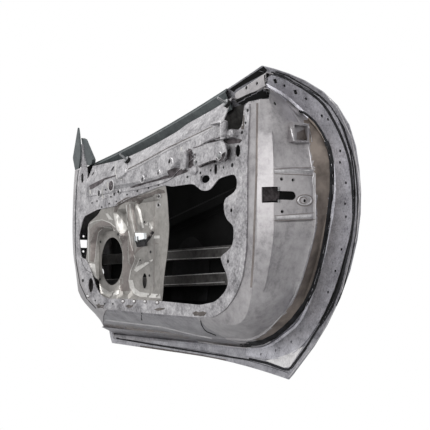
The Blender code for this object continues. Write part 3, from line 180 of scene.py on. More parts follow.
bareMetals = {
    # thin die casting as it leaves the mould: pale, blotched, slightly rough
    "castRail": dict(name="die_cast_aluminium_bare", light="CFCDCE", middle="A4A2A4",
                     dark="656366", stainMm=50, roughness=(0.42, 0.62), metallic=0.80, grain=1.0,
                     spots=0.55),
    # casting of the shut face: more even, with a satin sheen
    "castPanel": dict(name="cast_aluminium_panel_satin", light="B4B1B2", middle="A3A0A1",
                      dark="868385", stainMm=111.1, roughness=(0.36, 0.50), metallic=0.85,
                      grain=0.7, spots=0.12),
    # sill pressing: darker and streaked
    "sill": dict(name="cast_aluminium_sill_weathered", light="A09EA1", middle="8A888B",
                 dark="605E62", stainMm=62.5, roughness=(0.36, 0.50), metallic=0.85, grain=0.7,
                 spots=0.40),
    # rolled skin sheet: mottled by passivation
    "skin": dict(name="rolled_aluminium_skin_passivated", light="B2B1B5", middle="96959A",
                 dark="68676C", stainMm=38.46, roughness=(0.34, 0.52), metallic=0.85,
                 grain=0.6, spots=0.30),
    # the panel's flange beside the hem: brighter and speckled with corrosion
    "flange": dict(name="aluminium_flange_speckled", light="CFCED4", middle="B5B4BA",
                   dark="7E7D83", stainMm=29.41, roughness=(0.36, 0.52), metallic=0.85,
                   grain=0.8, spots=0.45),
    # pressed carrier sheet: satin, even and a little warm
    "carrier": dict(name="pressed_aluminium_carrier_satin", light="A19E9A", middle="908D89",
                    dark="767370", stainMm=100, roughness=(0.38, 0.50), metallic=0.90, grain=0.4,
                    spots=0.06),
    # extruded beams deep in the door: dull, darkened as painted shade of the cavity, also laid as
    # the belt flange's painted shade
    "beam": dict(name="extruded_aluminium_painted_shade", light="7C7A78", middle="646260", dark="474544",
                 stainMm=83.33, roughness=(0.35, 0.50), metallic=0.85, grain=0.5),
    # primed strip and sail: flat grey-green that hides the metal
    "strip": dict(name="primer_grey_green_dull", light="5A605F", middle="484D4E", dark="363B3C",
                  stainMm=45.45, roughness=(0.48, 0.62), metallic=0.25, grain=0.8,
                  spots=0.15),
    # plated studs, plates and bolts: bluish with worn brown patches
    "steel": dict(name="zinc_plated_steel_worn", light="C2C4C6", middle="98999A", dark="5E5C58",
                  stainMm=16.67, roughness=(0.25, 0.45), metallic=0.95, grain=0.5,
                  spots=0.3),
    # edges, beads and rims with a painted highlight, lighter than the metal beside them
    "edgeHighlight": dict(name="aluminium_edge_painted_highlight", light="C9C7C8", middle="B4B2B3", dark="949293",
                   stainMm=33.33, roughness=(0.30, 0.45), metallic=0.75, grain=0.5),
    # radii of the carrier and edges of castings: painted highlight, lighter than the sheet
    "radiusHighlight": dict(name="carrier_radius_painted_highlight", light="CFCDCA", middle="BFBDB9",
                        dark="A5A29E", stainMm=71.43, roughness=(0.38, 0.50), metallic=0.8,
                        grain=0.3),
    # painted shade, brownish: drawn walls in shadow, hollows, folds and lines beside ribs
    "wallShade": dict(name="carrier_wall_painted_shade", light="8E8783", middle="7B7471",
                      dark="67605D", stainMm=83.33, roughness=(0.34, 0.46), metallic=0.85,
                      grain=0.3),
    # rolled edges of the beams: painted highlight against the dark cavity
    "beamEdgeHighlight": dict(name="aluminium_beam_edge_painted_highlight", light="D8D6D4", middle="C2C0BE",
                     dark="A6A4A2", stainMm=33.33, roughness=(0.25, 0.4), metallic=0.6,
                     grain=0.3),
    # brushed corner of the hem and rivet heads: the brightest metal of the door
    "cornerBright": dict(name="aluminium_hem_brushed", light="E6E4E3", middle="D2D0D0",
                         dark="B4B2B2", stainMm=41.67, roughness=(0.35, 0.5), metallic=0.55,
                         grain=0.4)}
plainFinishes = {
    # moulded rubber of the stabiliser pads: black and matt
    "rubber": dict(name="moulded_rubber_black", dark="141414", light="1E1E1E",
                   mottleMm=16.67, roughness=0.7),
    # bitumen sheet that is stuck on to damp the skin: black with a dull bloom
    "mastic": dict(name="bitumen_damping_sheet", dark="161616", light="202021", mottleMm=25,
                   roughness=0.75),
    # metal in the depth of a hole, which no light reaches
    "dark": dict(name="shadowed_recess_grey", dark="1C1B1C", light="2A292A", mottleMm=25,
                 roughness=0.8),
    # wax and black coat sprayed inside the skin, together with painted shade of the cavity and of
    # the bracket's underside: it reads as black
    "coatAndCavityShade": dict(name="black_cavity_coat_and_painted_shade", dark="060606", light="0C0C0C", mottleMm=50,
                      roughness=0.8),
    # the wall beside the seal, turned from the light: painted shade, brown, warm and half shiny
    "shadedWall": dict(name="wall_brown_painted_shade", dark="665E58", light="8A8078",
                       mottleMm=62.5, roughness=0.5, metallic=0.6),
    # near black: seam sealer in the joints between panels, and painted shade in the groove and the
    # gaps of the hem
    "sealerAndGapShade": dict(name="seam_sealer_and_painted_gap_shade", dark="141415", light="262628",
                      mottleMm=16.67, roughness=0.8),
    # clip moulded in natural nylon: milky white
    "whitePlastic": dict(name="nylon_clip_natural", dark="D5D9DA", light="E8EAEA",
                         mottleMm=16.67, roughness=0.4),
    # cast pocket under a ledge: brownish and unlit
    "recess": dict(name="die_cast_pocket_unlit", dark="353132", light="575153",
                   mottleMm=14.29, roughness=0.65, metallic=0.2),
    # thin smear of sealer and dirt left on the metal, and painted shade: rings round the rivets,
    # the rail's hollow, the flange beside the rail's end
    "filmAndShade": dict(name="sealer_dirt_film_and_painted_shade", dark="4E4946", light="645E5B", mottleMm=20,
                 roughness=0.6, metallic=0.3)}
materials = {key: makeBareMetal(**finish) for key, finish in bareMetals.items()}
materials.update({key: makePlain(**finish) for key, finish in plainFinishes.items()})

# what each node is made of and, for curved ones, the angle in degrees up to which it is smooth
dress = {
    "outer_skin": ("skin", 30), "latch_end_panel": ("castPanel", 26), "sill_panel": ("sill", 26),
    "hinge_end_panel": ("castPanel", 26), "inner_frame": ("castRail", 25),
    "carrier_panel": ("carrier", 40), "belt_rail": ("castRail", 30),
    "outer_belt_rail": ("strip", 30), "corner_bracket": ("castPanel", 30),
    "upper_beam": ("beam", None), "lower_beam": ("beam", None),
    "upper_beam_front_foot": ("beam", None), "upper_beam_rear_foot": ("beam", None),
    "lower_beam_front_foot": ("beam", None), "lower_beam_rear_foot": ("beam", None),
    "upper_hinge_plate": ("steel", None), "lower_hinge_plate": ("steel", None),
    "check_strap_plate": ("steel", None), "latch_plate": ("steel", None),
    "mirror_sail": ("strip", 25), "sail_strut": ("strip", 25), "mirror_plate": ("castRail", 25),
    "handle_plate": ("castRail", 25), "front_stabiliser_stud": ("steel", 35),
    "rear_stabiliser_stud": ("steel", 35), "front_stabiliser_pad": ("rubber", 35),
    "rear_stabiliser_pad": ("rubber", 35), "carrier_clip": ("steel", None),
    "skin_stiffener": ("coatAndCavityShade", 30), "damping_pad": ("mastic", 30)}
weldDistance = 0.00002


def smoothByAngle(piece, degrees):
    # shades smooth, with the edges sharper than the angle kept crisp
    for polygon in piece.data.polygons:
        polygon.use_smooth = True
    split = piece.modifiers.new("crease", "EDGE_SPLIT")
    split.split_angle = math.radians(degrees)
    split.use_edge_sharp = False


for name, node in nodes.items():
    finish, degrees = dress[name]
    node.data.materials.clear()
    node.data.materials.append(materials[finish])
    weld = node.modifiers.new("weld", "WELD")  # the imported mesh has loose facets
    weld.merge_threshold = weldDistance
    if degrees:
        smoothByAngle(node, degrees)
print("CAD nodes dressed")

# solved from the photograph: 57 degrees round towards the latch end, slightly below the rail
cameraView = {"position": layout(2.6156, -1.1505, 0.1153), "turn": 57.0, "tilt": 3.683,
              "focal": 870.0, "width": 430, "sensor": 36.0, "clip": (0.05, 40)}
cameraData = bpy.data.cameras.new("camera")
camera = bpy.data.objects.new("camera", cameraData)
bpy.context.scene.collection.objects.link(camera)
camera.location = cameraView["position"]
camera.rotation_euler = (math.radians(90 + cameraView["tilt"]), 0,
                         math.radians(cameraView["turn"]))
cameraData.sensor_width = cameraView["sensor"]
cameraData.lens = cameraView["sensor"] * cameraView["focal"] / cameraView["width"]
cameraData.clip_start, cameraData.clip_end = cameraView["clip"]
bpy.context.scene.camera = camera
bpy.context.scene.render.resolution_x = cameraView["width"]
bpy.context.scene.render.resolution_y = cameraView["width"]
bpy.context.scene.view_settings.view_transform = "Standard"

# the room round the door: camera, glossy and transmission rays see its white, and the light that
# it throws has soft glows and dark sides, so that the bends of bare metal read; each has its
# direction, the cosines where it starts and where it is full, and what it adds
studio = {
    "base": 0.30, "darkest": 0.05, "tint": (0.97, 0.98, 1.0, 1), "white": (1, 1, 1, 1),
    "glows": (((0.45, -0.87, 0.15), 0.30, 0.95, 0.90),  # cabin side, towards the latch end
              ((-0.75, -0.60, 0.20), 0.40, 0.95, 0.52),  # beyond the hinges
              ((-0.70, -0.62, -0.36), 0.74, 0.98, -0.40),  # dark floor beyond the hinges
              ((-0.45, -0.87, 0.05), 0.70, 0.98, 0.35),  # cabin side, towards the hinges
              ((0.0, -0.35, 0.95), 0.35, 0.95, 0.55),  # above
              ((0.60, -0.72, 0.34), 0.80, 0.98, 0.40),  # high behind the camera
              ((0.85, 0.50, 0.22), 0.45, 0.97, 0.95),  # outside, behind the latch end
              ((0.0, 0.0, -1.0), 0.20, 0.90, -0.12)),  # below
    "target": layout(0.55, 0.08, 0.25),
    "lamps": (("ceiling", layout(0.5, -1.1, 2.4), (1.8, 0.8), 26),
              ("cabinSide", layout(1.5, -2.6, 1.2), (1.0, 1.4), 22))}
floorValues = {"size": 8.0, "middle": (0.5, 0.0), "drop": 0.35, "colour": (0.5, 0.5, 0.5, 1),
               "roughness": 0.9}


def makeWorld():
    world = bpy.data.worlds.new("studio")
    bpy.context.scene.world = world
    world.use_nodes = True
    tree = world.node_tree
    tree.nodes.clear()
    direction = addNode(tree, "TexCoord").outputs["Generated"]
    strength = addNode(tree, "Value").outputs[0]
    strength.default_value = studio["base"]
    for aim, start, full, gain in studio["glows"]:
        # how far the direction lies towards aim, from 0 at start to 1 where it is full
        towards = addNode(tree, "VectorMath", {0: direction, 1: Vector(aim).normalized()},
                          operation="DOT_PRODUCT").outputs["Value"]
        towards = addNode(tree, "MapRange", {"Value": towards, "From Min": start,
                                             "From Max": full},
                          interpolation_type="SMOOTHSTEP").outputs[0]
        strength = addNode(tree, "Math", {0: towards, 1: gain, 2: strength},
                           operation="MULTIPLY_ADD").outputs[0]
    strength = addNode(tree, "Math", {0: strength, 1: studio["darkest"]},
                       operation="MAXIMUM").outputs[0]
    soft = addNode(tree, "Background", {"Color": studio["tint"], "Strength": strength})
    white = addNode(tree, "Background", {"Color": studio["white"], "Strength": 1.0})
    rays = addNode(tree, "LightPath").outputs
    seesWhite = rays["Is Camera Ray"]
    for kind in ("Is Glossy Ray", "Is Transmission Ray"):
        seesWhite = addNode(tree, "Math", {0: seesWhite, 1: rays[kind]},
                            operation="MAXIMUM").outputs[0]
    both = addNode(tree, "MixShader", {0: seesWhite, 1: soft.outputs[0], 2: white.outputs[0]})
    addNode(tree, "OutputWorld", {"Surface": both.outputs[0]})


def makeLamp(name, place, size, power):
    data = bpy.data.lights.new(name, "AREA")
    data.shape = "RECTANGLE"
    data.size, data.size_y = size
    data.energy = power
    lamp = bpy.data.objects.new(name, data)
    bpy.context.scene.collection.objects.link(lamp)
    lamp.location = place
    lamp.rotation_euler = (studio["target"] - place).to_track_quat("-Z", "Y").to_euler()


def makeFloor():
    mesh = bpy.data.meshes.new("floor")
    bm = bmesh.new()
    bmesh.ops.create_grid(bm, x_segments=1, y_segments=1, size=floorValues["size"])
    bm.to_mesh(mesh)
    bm.free()
    floor = bpy.data.objects.new("floor", mesh)
    bpy.context.scene.collection.objects.link(floor)
    floor.location = (*floorValues["middle"], cadBox[0][2] - floorValues["drop"])
    # white to the camera and grey to all else, so that little light is thrown up at the door
    material, tree, shader = newMaterial("studio_floor_white")
    shader.inputs["Base Color"].default_value = floorValues["colour"]
    shader.inputs["Roughness"].default_value = floorValues["roughness"]
    white = addNode(tree, "Emission", {"Color": studio["white"], "Strength": 1.0})
    rays = addNode(tree, "LightPath").outputs["Is Camera Ray"]
    both = addNode(tree, "MixShader", {0: rays, 1: shader.outputs[0], 2: white.outputs[0]})
    tree.links.new(both.outputs[0], tree.nodes["Material Output"].inputs[0])
    mesh.materials.append(material)


makeWorld()
for lamp in studio["lamps"]:
    makeLamp(*lamp)
makeFloor()
print("camera, light and floor set")

# small things are placed by the pixel of the photo where they show, on the metal behind it
bpy.context.view_layer.update()
viewMatrix = camera.matrix_world.copy()


def treeOf(node):
    matrix = node.matrix_world
    return BVHTree.FromPolygons([matrix @ vert.co for vert in node.data.vertices],
                                [tuple(polygon.vertices) for polygon in node.data.polygons])


trees = {name: treeOf(node) for name, node in nodes.items()}


def rayAt(u, v):
    # the direction in which the camera sees this pixel
    half = cameraView["width"] / 2
    return viewMatrix.to_3x3() @ Vector(((u - half) / cameraView["focal"],
                                         (half - v) / cameraView["focal"], -1))


def surfaceAt(u, v, *names):
    # the point of the named nodes that the camera sees at this pixel, and its normal
    aim = rayAt(u, v)
    hits = [trees[name].ray_cast(viewMatrix.translation, aim) for name in names]
    hits = [hit for hit in hits if hit[0]]
    if not hits:
        return None
    point, normal, _, _ = min(hits, key=lambda hit: hit[3])
    return (point, normal) if normal.dot(aim) < 0 else (point, -normal)


def onPlane(pixel, depth):
    # where the ray of this pixel crosses the upright plane at this depth in y
    aim = rayAt(*pixel)
    origin = viewMatrix.translation
    return origin + aim * ((depth - origin.y) / aim.y)


def toPixel(point):
    local = viewMatrix.inverted() @ point
    half = cameraView["width"] / 2
    return Vector((local.x, -local.y)) * (cameraView["focal"] / -local.z) + Vector((half, half))


# the pressed metal changes along its profile: the shut face, beyond the ridge a wall in painted
# shade, beyond the groove the flange; where the paths end, the flange is what lies on the skin
panelZones = {
    "flangeGap": 0.0060, "ridgeMargin": 1.6,  # metres, pixels
    # from top to bottom, in pixels of the photo
    "ridge": ((301, 119), (305.6, 126.7), (310, 143.3), (308.8, 147.8), (312.2, 167.8),
              (313.6, 174.4), (312.4, 181.1), (315.4, 193.3), (315.5, 219.3), (314.7, 230.7),
              (311.4, 246.9), (306.9, 263.2), (302, 279.4), (294.7, 295.7), (284.9, 311.9),
              (274.4, 323.3), (264.6, 333), (254.9, 338.7), (240, 341.8)),
    "groove": ((299, 111), (303.6, 112.4), (309, 116.4), (315, 121.8), (321.5, 131.5),
               (326.4, 141.3), (329.6, 151), (331.4, 160.8), (332, 173.8), (331.8, 190),
               (330, 206.3), (328, 222.5), (325.4, 238.8), (322.3, 255), (318.3, 271.3),
               (313.4, 287.5), (305.3, 303.8), (293, 320), (285, 328), (274.4, 336.3),
               (263, 342), (253, 343.8), (240, 344.6))}
# the skin's inner face has the black coat with the cavity's painted shade where it is thin and
# either covered by a panel or within this stretch of the layout
skinCoatAndShade = {"thinnest": 0.0022, "across": (-0.1, 0.96), "up": (-0.03, 0.52), "coverFrom": 0.01,
            "inwards": -0.2, "coveredBy": ("latch_end_panel", "sill_panel", "hinge_end_panel")}


def toSkin(point, clear=0.0001):
    # how far the skin is, straight outwards
    hit = trees["outer_skin"].ray_cast(point + Vector((0, clear, 0)), Vector((0, 1, 0)))
    return hit[3] if hit[0] else None


def acrossAt(path, v):
    # how far right the path lies at this height of the photo
    for (u0, v0), (u1, v1) in zip(path, path[1:]):
        if v < v1:
            return u0 + (u1 - u0) * (v - v0) / (v1 - v0)
    return path[-1][0]


def zonePanel(name, flangeMetal):
    node = nodes[name]
    ridge, groove = panelZones["ridge"], panelZones["groove"]
    node.data.materials.append(materials["shadedWall"])
    node.data.materials.append(materials[flangeMetal])
    for polygon in node.data.polygons:
        centre = node.matrix_world @ polygon.center
        away = toSkin(centre)
        if away is None:
            continue
        u, v = toPixel(centre)
        if not ridge[0][1] < v < ridge[-1][1]:
            polygon.material_index = 2 if away < panelZones["flangeGap"] else 0
        elif u > acrossAt(groove, v):
            polygon.material_index = 2
        elif u > acrossAt(ridge, v) + panelZones["ridgeMargin"]:
            polygon.material_index = 1


def zoneSkin():
    node = nodes["outer_skin"]
    node.data.materials.append(materials["coatAndCavityShade"])
    (left, right), (low, high) = skinCoatAndShade["across"], skinCoatAndShade["up"]
    for polygon in node.data.polygons:
        if polygon.normal.y >= skinCoatAndShade["inwards"]:
            continue
        centre = node.matrix_world @ polygon.center
        thick = toSkin(centre)
        if thick is None or thick >= skinCoatAndShade["thinnest"]:
            continue
        x, _, z = centre - layoutShift
        covered = z > skinCoatAndShade["coverFrom"] and any(
            trees[name].ray_cast(centre, Vector((0, -1, 0)))[0] for name in skinCoatAndShade["coveredBy"])
        if covered or (left < x < right and low < z < high):
            polygon.material_index = 1


zonePanel("latch_end_panel", "flange")
zonePanel("sill_panel", "skin")
zoneSkin()
print("metal zones set")

# how the small pieces are made: steps in pixels, the rest in metres, shares and counts
kitValues = {"patchStep": 2.2, "patchHalvings": 5, "lineStep": 0.7, "lineParts": 4,
             "widestFace": 0.022, "probe": 0.001, "filmLift": 0.0004, "discLift": 0.0003,
             "lineLift": 0.0002, "sink": 0.0005, "blockBevel": 0.0015, "bevelShare": 0.4,
             "bevelSteps": 3, "domeEdge": (0.96, 0.55), "rimCrest": 0.4, "rimFoot": 0.3,
             "smooth": 40}


class Kit:
    # gathers small shapes of one material and sets them on the metal
    def __init__(self, name, material):
        self.name, self.material = name, material
        self.bm = bmesh.new()

    def frameAt(self, u, v, names):
        # the spot behind a pixel, its directions and how many pixels a metre of each takes there
        spot = surfaceAt(u, v, *names)
        if spot is None:
            print("no metal at pixel", self.name, u, v)
            return None
        point, normal = spot
        across = Vector((0, 0, 1)).cross(normal).normalized()
        up = normal.cross(across)
        step = kitValues["probe"]
        wide = (toPixel(point + across * step) - toPixel(point)).length / step
        tall = (toPixel(point + up * step) - toPixel(point)).length / step
        return point, normal, across, up, wide, tall

    def oval(self, place, width, height, high, sides):
        # corners of an oval of this many pixels, lifted from the metal
        point, normal, across, up, wide, tall = place
        angles = [2 * math.pi * k / sides for k in range(sides)]
        return [self.bm.verts.new(point + across * (math.cos(angle) * width / 2 / wide)
                                  + up * (math.sin(angle) * height / 2 / tall) + normal * high)
                for angle in angles]

    def join(self, first, second):
        # a closed band of faces between two rings of corners
        count = len(first)
        for k in range(count):
            self.bm.faces.new((first[k], first[(k + 1) % count], second[(k + 1) % count],
                               second[k]))

    def disc(self, u, v, width, height, names, lift=kitValues["discLift"], sides=14, dome=0.0,
             top=0.7):
        # a flat oval; with dome it is a low boss of that height
        place = self.frameAt(u, v, names)
        if place is None:
            return
        rings = [(1.0, lift)]
        if dome:
            scale, share = kitValues["domeEdge"]
            rings = [(1.0, -lift), (scale, lift + dome * share), (top, lift + dome)]
        rows = [self.oval(place, width * scale, height * scale, high, sides)
                for scale, high in rings]
        for first, second in zip(rows, rows[1:]):
            self.join(first, second)
        self.bm.faces.new(rows[-1])

    def ring(self, u, v, width, height, names, rim=0.25, high=0.0012, sides=16):
        # a pressed rim round a hole
        place = self.frameAt(u, v, names)
        if place is None:
            return
        rings = ((1.0, 0.0), (1.0 - rim * kitValues["rimCrest"], high),
                 (1.0 - rim, high * kitValues["rimFoot"]))
        rows = [self.oval(place, width * scale, height * scale, lift, sides)
                for scale, lift in rings]
        for first, second in zip(rows, rows[1:]):
            self.join(first, second)

    def box(self, start, end, names, deep, bevel):
        # a block whose front corners show at these pixels, at the depth of the metal at start
        front = surfaceAt(*start, *names)[0].y
        corners = [onPlane(start, front), onPlane(end, front)]
        low = Vector((min(c.x for c in corners), front, min(c.z for c in corners)))
        high = Vector((max(c.x for c in corners), front + deep, max(c.z for c in corners)))
        made = bmesh.ops.create_cube(self.bm, size=1.0)["verts"]
        for vert in made:
            vert.co = (low + high) / 2 + Vector(c * s for c, s in zip(vert.co, high - low))
        sides = list(dict.fromkeys(edge for vert in made for edge in vert.link_edges))
        bmesh.ops.bevel(self.bm, geom=sides, offset=bevel, segments=kitValues["bevelSteps"],
                        affect="EDGES")

    def fill(self, corners):
        # a face, unless it would bridge a step in the metal
        if None in corners:
            return
        spread = max((a.co - b.co).length for a in corners for b in corners)
        if spread < kitValues["widestFace"]:
            self.bm.faces.new(corners)

    def patch(self, points, names, lift=kitValues["filmLift"]):
        # a thin layer of this outline in pixels that follows the metal behind it
        flat = bmesh.new()
        flat.faces.new([flat.verts.new((u, v, 0)) for u, v in points])
        for _ in range(kitValues["patchHalvings"]):
            bmesh.ops.triangulate(flat, faces=flat.faces)
            coarse = [edge for edge in flat.edges
                      if edge.calc_length() > kitValues["patchStep"]]
            if not coarse:
                break
            bmesh.ops.subdivide_edges(flat, edges=coarse, cuts=1)
        bmesh.ops.triangulate(flat, faces=flat.faces)
        made = {}
        for vert in flat.verts:
            spot = surfaceAt(vert.co.x, vert.co.y, *names)
            if spot:
                made[vert] = self.bm.verts.new(spot[0] + spot[1] * lift)
        for face in flat.faces:
            self.fill([made.get(vert) for vert in face.verts])
        flat.free()

    def block(self, points, names, high):
        # a raised shape: the same corners sunk in the metal and lifted from it, bevelled
        spots = [surfaceAt(u, v, *names) for u, v in points]
        if None in spots:
            print("no metal at pixel", self.name, points)
            return
        normal = sum((spot[1] for spot in spots), Vector()).normalized()
        centre = sum((spot[0] for spot in spots), Vector()) / len(spots)
        bevel = min(kitValues["blockBevel"], high * kitValues["bevelShare"])
        low = [self.bm.verts.new(spot[0] - normal * kitValues["sink"]) for spot in spots]
        mid = [self.bm.verts.new(spot[0] + normal * (high - bevel)) for spot in spots]
        top = [self.bm.verts.new(spot[0] + normal * high + (centre - spot[0]).normalized() * bevel)
               for spot in spots]
        self.join(low, mid)
        self.join(mid, top)
        self.bm.faces.new(top)

    def line(self, points, width, names, high=0.0005):
        # a strip that follows the metal; high rounds it up like a pressed bead
        path = []
        for (u0, v0), (u1, v1) in zip(points, points[1:]):
            steps = max(1, round(math.hypot(u1 - u0, v1 - v0) / kitValues["patchStep"]))
            path += [(u0 + (u1 - u0) * k / steps, v0 + (v1 - v0) * k / steps)
                     for k in range(steps)]
        path.append(points[-1])
        parts = max(kitValues["lineParts"], round(width / kitValues["lineStep"]))
        rows = []
        for k, (u, v) in enumerate(path):
            before, after = path[max(k - 1, 0)], path[min(k + 1, len(path) - 1)]
            along = Vector((after[0] - before[0], after[1] - before[1])).normalized()
            row = []
            for j in range(parts + 1):
                share = 2 * j / parts - 1
                off = share * width / 2
                spot = surfaceAt(u - along.y * off, v + along.x * off, *names)
                lift = kitValues["lineLift"] + high * (1 - share * share)
                row.append(self.bm.verts.new(spot[0] + spot[1] * lift) if spot else None)
            rows.append(row)
        for first, second in zip(rows, rows[1:]):
            for j in range(parts):
                self.fill((first[j], first[j + 1], second[j + 1], second[j]))

    def finish(self):
        bmesh.ops.recalc_face_normals(self.bm, faces=self.bm.faces)
        mesh = bpy.data.meshes.new(self.name)
        self.bm.to_mesh(mesh)
        self.bm.free()
        piece = bpy.data.objects.new(self.name, mesh)
        bpy.context.scene.collection.objects.link(piece)
        mesh.materials.append(materials[self.material])
        smoothByAngle(piece, kitValues["smooth"])
        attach(piece, "root")


def layPatches(name, material, values):
    kit = Kit(name, material)
    for outline in values["outlines"]:
        kit.patch(outline, values["on"], values["lift"])
    kit.finish()


def layLines(name, material, values):
    kit = Kit(name, material)
    for points, width in values["lines"]:
        kit.line(points, width, values["on"], values["high"])
    kit.finish()


# the nodes that small pieces are set on; in the values below, places and outlines are pixels of
# the photo, widths are in pixels, lifts and heights in metres
metal = ("inner_frame", "belt_rail", "carrier_panel", "hinge_end_panel", "handle_plate")
shut = ("latch_end_panel", "sill_panel", "outer_skin", "hinge_end_panel")
edge = ("outer_skin", "latch_end_panel", "sill_panel")
end = ("latch_end_panel",)
endAndSill = ("latch_end_panel", "sill_panel")
sill = ("sill_panel", "latch_end_panel")
sheet = ("carrier_panel",)
corner = ("corner_bracket", "latch_end_panel", "outer_skin", "inner_frame", "belt_rail",
          "outer_belt_rail")

# punched holes: place, width and height, and the window below the column
punchedHoles = {"inMetal": (
    (118.5, 191.8, 1.6, 3.2), (114.2, 193.9, 1.6, 4.2), (111.0, 196.8, 1.6, 1.8),
    (105.6, 190.0, 1.4, 2.4), (92.1, 202.9, 1.4, 1.8), (97.1, 201.1, 1.4, 1.8),
    (101.7, 207.1, 1.5, 2.0), (109.2, 203.6, 1.5, 1.9), (116.4, 201.4, 1.5, 1.6),
    (127.1, 194.6, 1.6, 2.0), (127.1, 201.1, 2.2, 2.0), (137.4, 191.1, 1.8, 2.0),
    (148.5, 187.9, 1.8, 2.2), (158.5, 185.0, 2.0, 1.8), (187.4, 177.0, 2.0, 2.8),
    (158.6, 196.4, 1.8, 2.6), (158.6, 205.0, 1.8, 2.8), (93.1, 173.6, 1.6, 3.8),
    (112.8, 168.6, 2.0, 5.4), (98.9, 193.2, 1.9, 6.0), (247.7, 110.3, 2.2, 3.6),
    (245.6, 122.9, 1.7, 2.8), (242.1, 132.5, 2.4, 3.4), (237.7, 150.4, 4.8, 9.2),
    (215.7, 169.6, 3.5, 9.2), (232.3, 165.2, 2.4, 4.6), (223.6, 167.5, 1.6, 2.8),
    (210.8, 170.4, 1.9, 2.6), (200.4, 172.9, 1.8, 2.8), (150.6, 251.9, 1.8, 3.0),
    (149.4, 275.6, 1.6, 2.6), (140.0, 260.0, 1.5, 2.2), (82.1, 251.3, 2.0, 2.8),
    (80.8, 236.0, 2.0, 2.8), (82.9, 280.6, 2.0, 3.4), (118.0, 234.4, 1.6, 2.6),
    (117.3, 240.0, 1.6, 2.6), (100.6, 241.9, 1.6, 2.6), (100.0, 279.4, 1.6, 2.6),
    (116.9, 280.0, 1.6, 2.6), (123.8, 269.4, 1.6, 2.6), (144.5, 222.0, 1.6, 2.4),
    (231.7, 210.6, 3.6, 6.4), (142.2, 179.0, 1.4, 3.6),
    (158.2, 173.0, 1.3, 3.6), (169.3, 161.2, 2.2, 4.6), (95.4, 300.6, 1.4, 1.8),
    (104.8, 303.8, 1.4, 1.8), (112.9, 303.8, 1.6, 1.8)),
    "inShutFace": ((274.8, 103.6, 2.4, 3.6), (282.4, 179.0, 2.4, 3.4), (303.6, 200.5, 4.6, 4.2),
                   (296.6, 92.5, 2.2, 2.6)),
    "window": ((201, 176.4), (203, 175), (208.6, 175), (210, 177), (209.6, 181), (207, 182.8),
               (202, 182.9), (200.4, 180.5))}
holes = Kit("punched_holes", "dark")
for hole in punchedHoles["inMetal"]:
    holes.disc(*hole, metal)
for hole in punchedHoles["inShutFace"]:
    holes.disc(*hole, shut)
holes.patch(punchedHoles["window"], ("inner_frame",))
holes.finish()
print("holes punched")

# pressed rims round holes and eyelets, with a painted highlight
pressedRims = {"inMetal": (
    (93.0, 172.9, 5.0, 8.6), (142.3, 179.3, 4.6, 8.0), (158.4, 173.2, 4.2, 7.4),
    (170.4, 162.7, 6.0, 10.6), (158.6, 196.4, 4.0, 5.4), (158.6, 205.0, 4.0, 6.0),
    (118.5, 191.8, 3.4, 5.8), (196.7, 161.7, 5.0, 8.0), (219.2, 155.8, 5.0, 8.6),
    (98.9, 193.2, 3.6, 8.2), (90.6, 286.3, 6.4, 13.0), (111.0, 185.8, 6.2, 12.8),
    (106.4, 195.0, 4.6, 6.0), (231.2, 210.2, 6.0, 9.4), (237.7, 150.4, 6.4, 11.4)),
    "besideLatch": (303.6, 200.5, 15.0, 11.0), "high": 0.0020, "rim": 0.30, "sides": 24}
rims = Kit("pressed_rims", "edgeHighlight")
for rim in pressedRims["inMetal"]:
    rims.ring(*rim, metal)
rims.ring(*pressedRims["besideLatch"], shut, rim=pressedRims["rim"], high=pressedRims["high"],
          sides=pressedRims["sides"])
rims.finish()

# rivets along the carrier's lower edge, each in a ring of painted shadow
rivetValues = {"places": ((88, 296), (122.9, 301.3), (134.1, 301.3), (145, 301.5),
                          (157.3, 302.5)),
               "head": (2.4, 2.6), "dome": 0.0020, "mark": (3.8, 4.0), "markLift": 0.0002}
rivets = Kit("rivets", "cornerBright")
marks = Kit("rivet_painted_shadows", "filmAndShade")
for place in rivetValues["places"]:
    marks.disc(*place, *rivetValues["mark"], metal, lift=rivetValues["markLift"])
    rivets.disc(*place, *rivetValues["head"], metal, dome=rivetValues["dome"])
rivets.finish()
marks.finish()

# the bolts beside the column, with their sockets
boltValues = {"heads": ((196.7, 161.7), (219.2, 155.8)), "head": (3.4, 5.6), "dome": 0.0034,
              "flat": 0.8, "sockets": ((196.2, 161.5), (218.7, 155.5)), "socket": (1.5, 2.6),
              "socketLift": 0.0036}
bolts = Kit("bolt_heads", "steel")
for place in boltValues["heads"]:
    bolts.disc(*place, *boltValues["head"], metal, dome=boltValues["dome"],
               top=boltValues["flat"])
bolts.finish()
sockets = Kit("bolt_sockets", "dark")
for place in boltValues["sockets"]:
    sockets.disc(*place, *boltValues["socket"], metal, lift=boltValues["socketLift"])
sockets.finish()
print("rims, rivets and bolts set")

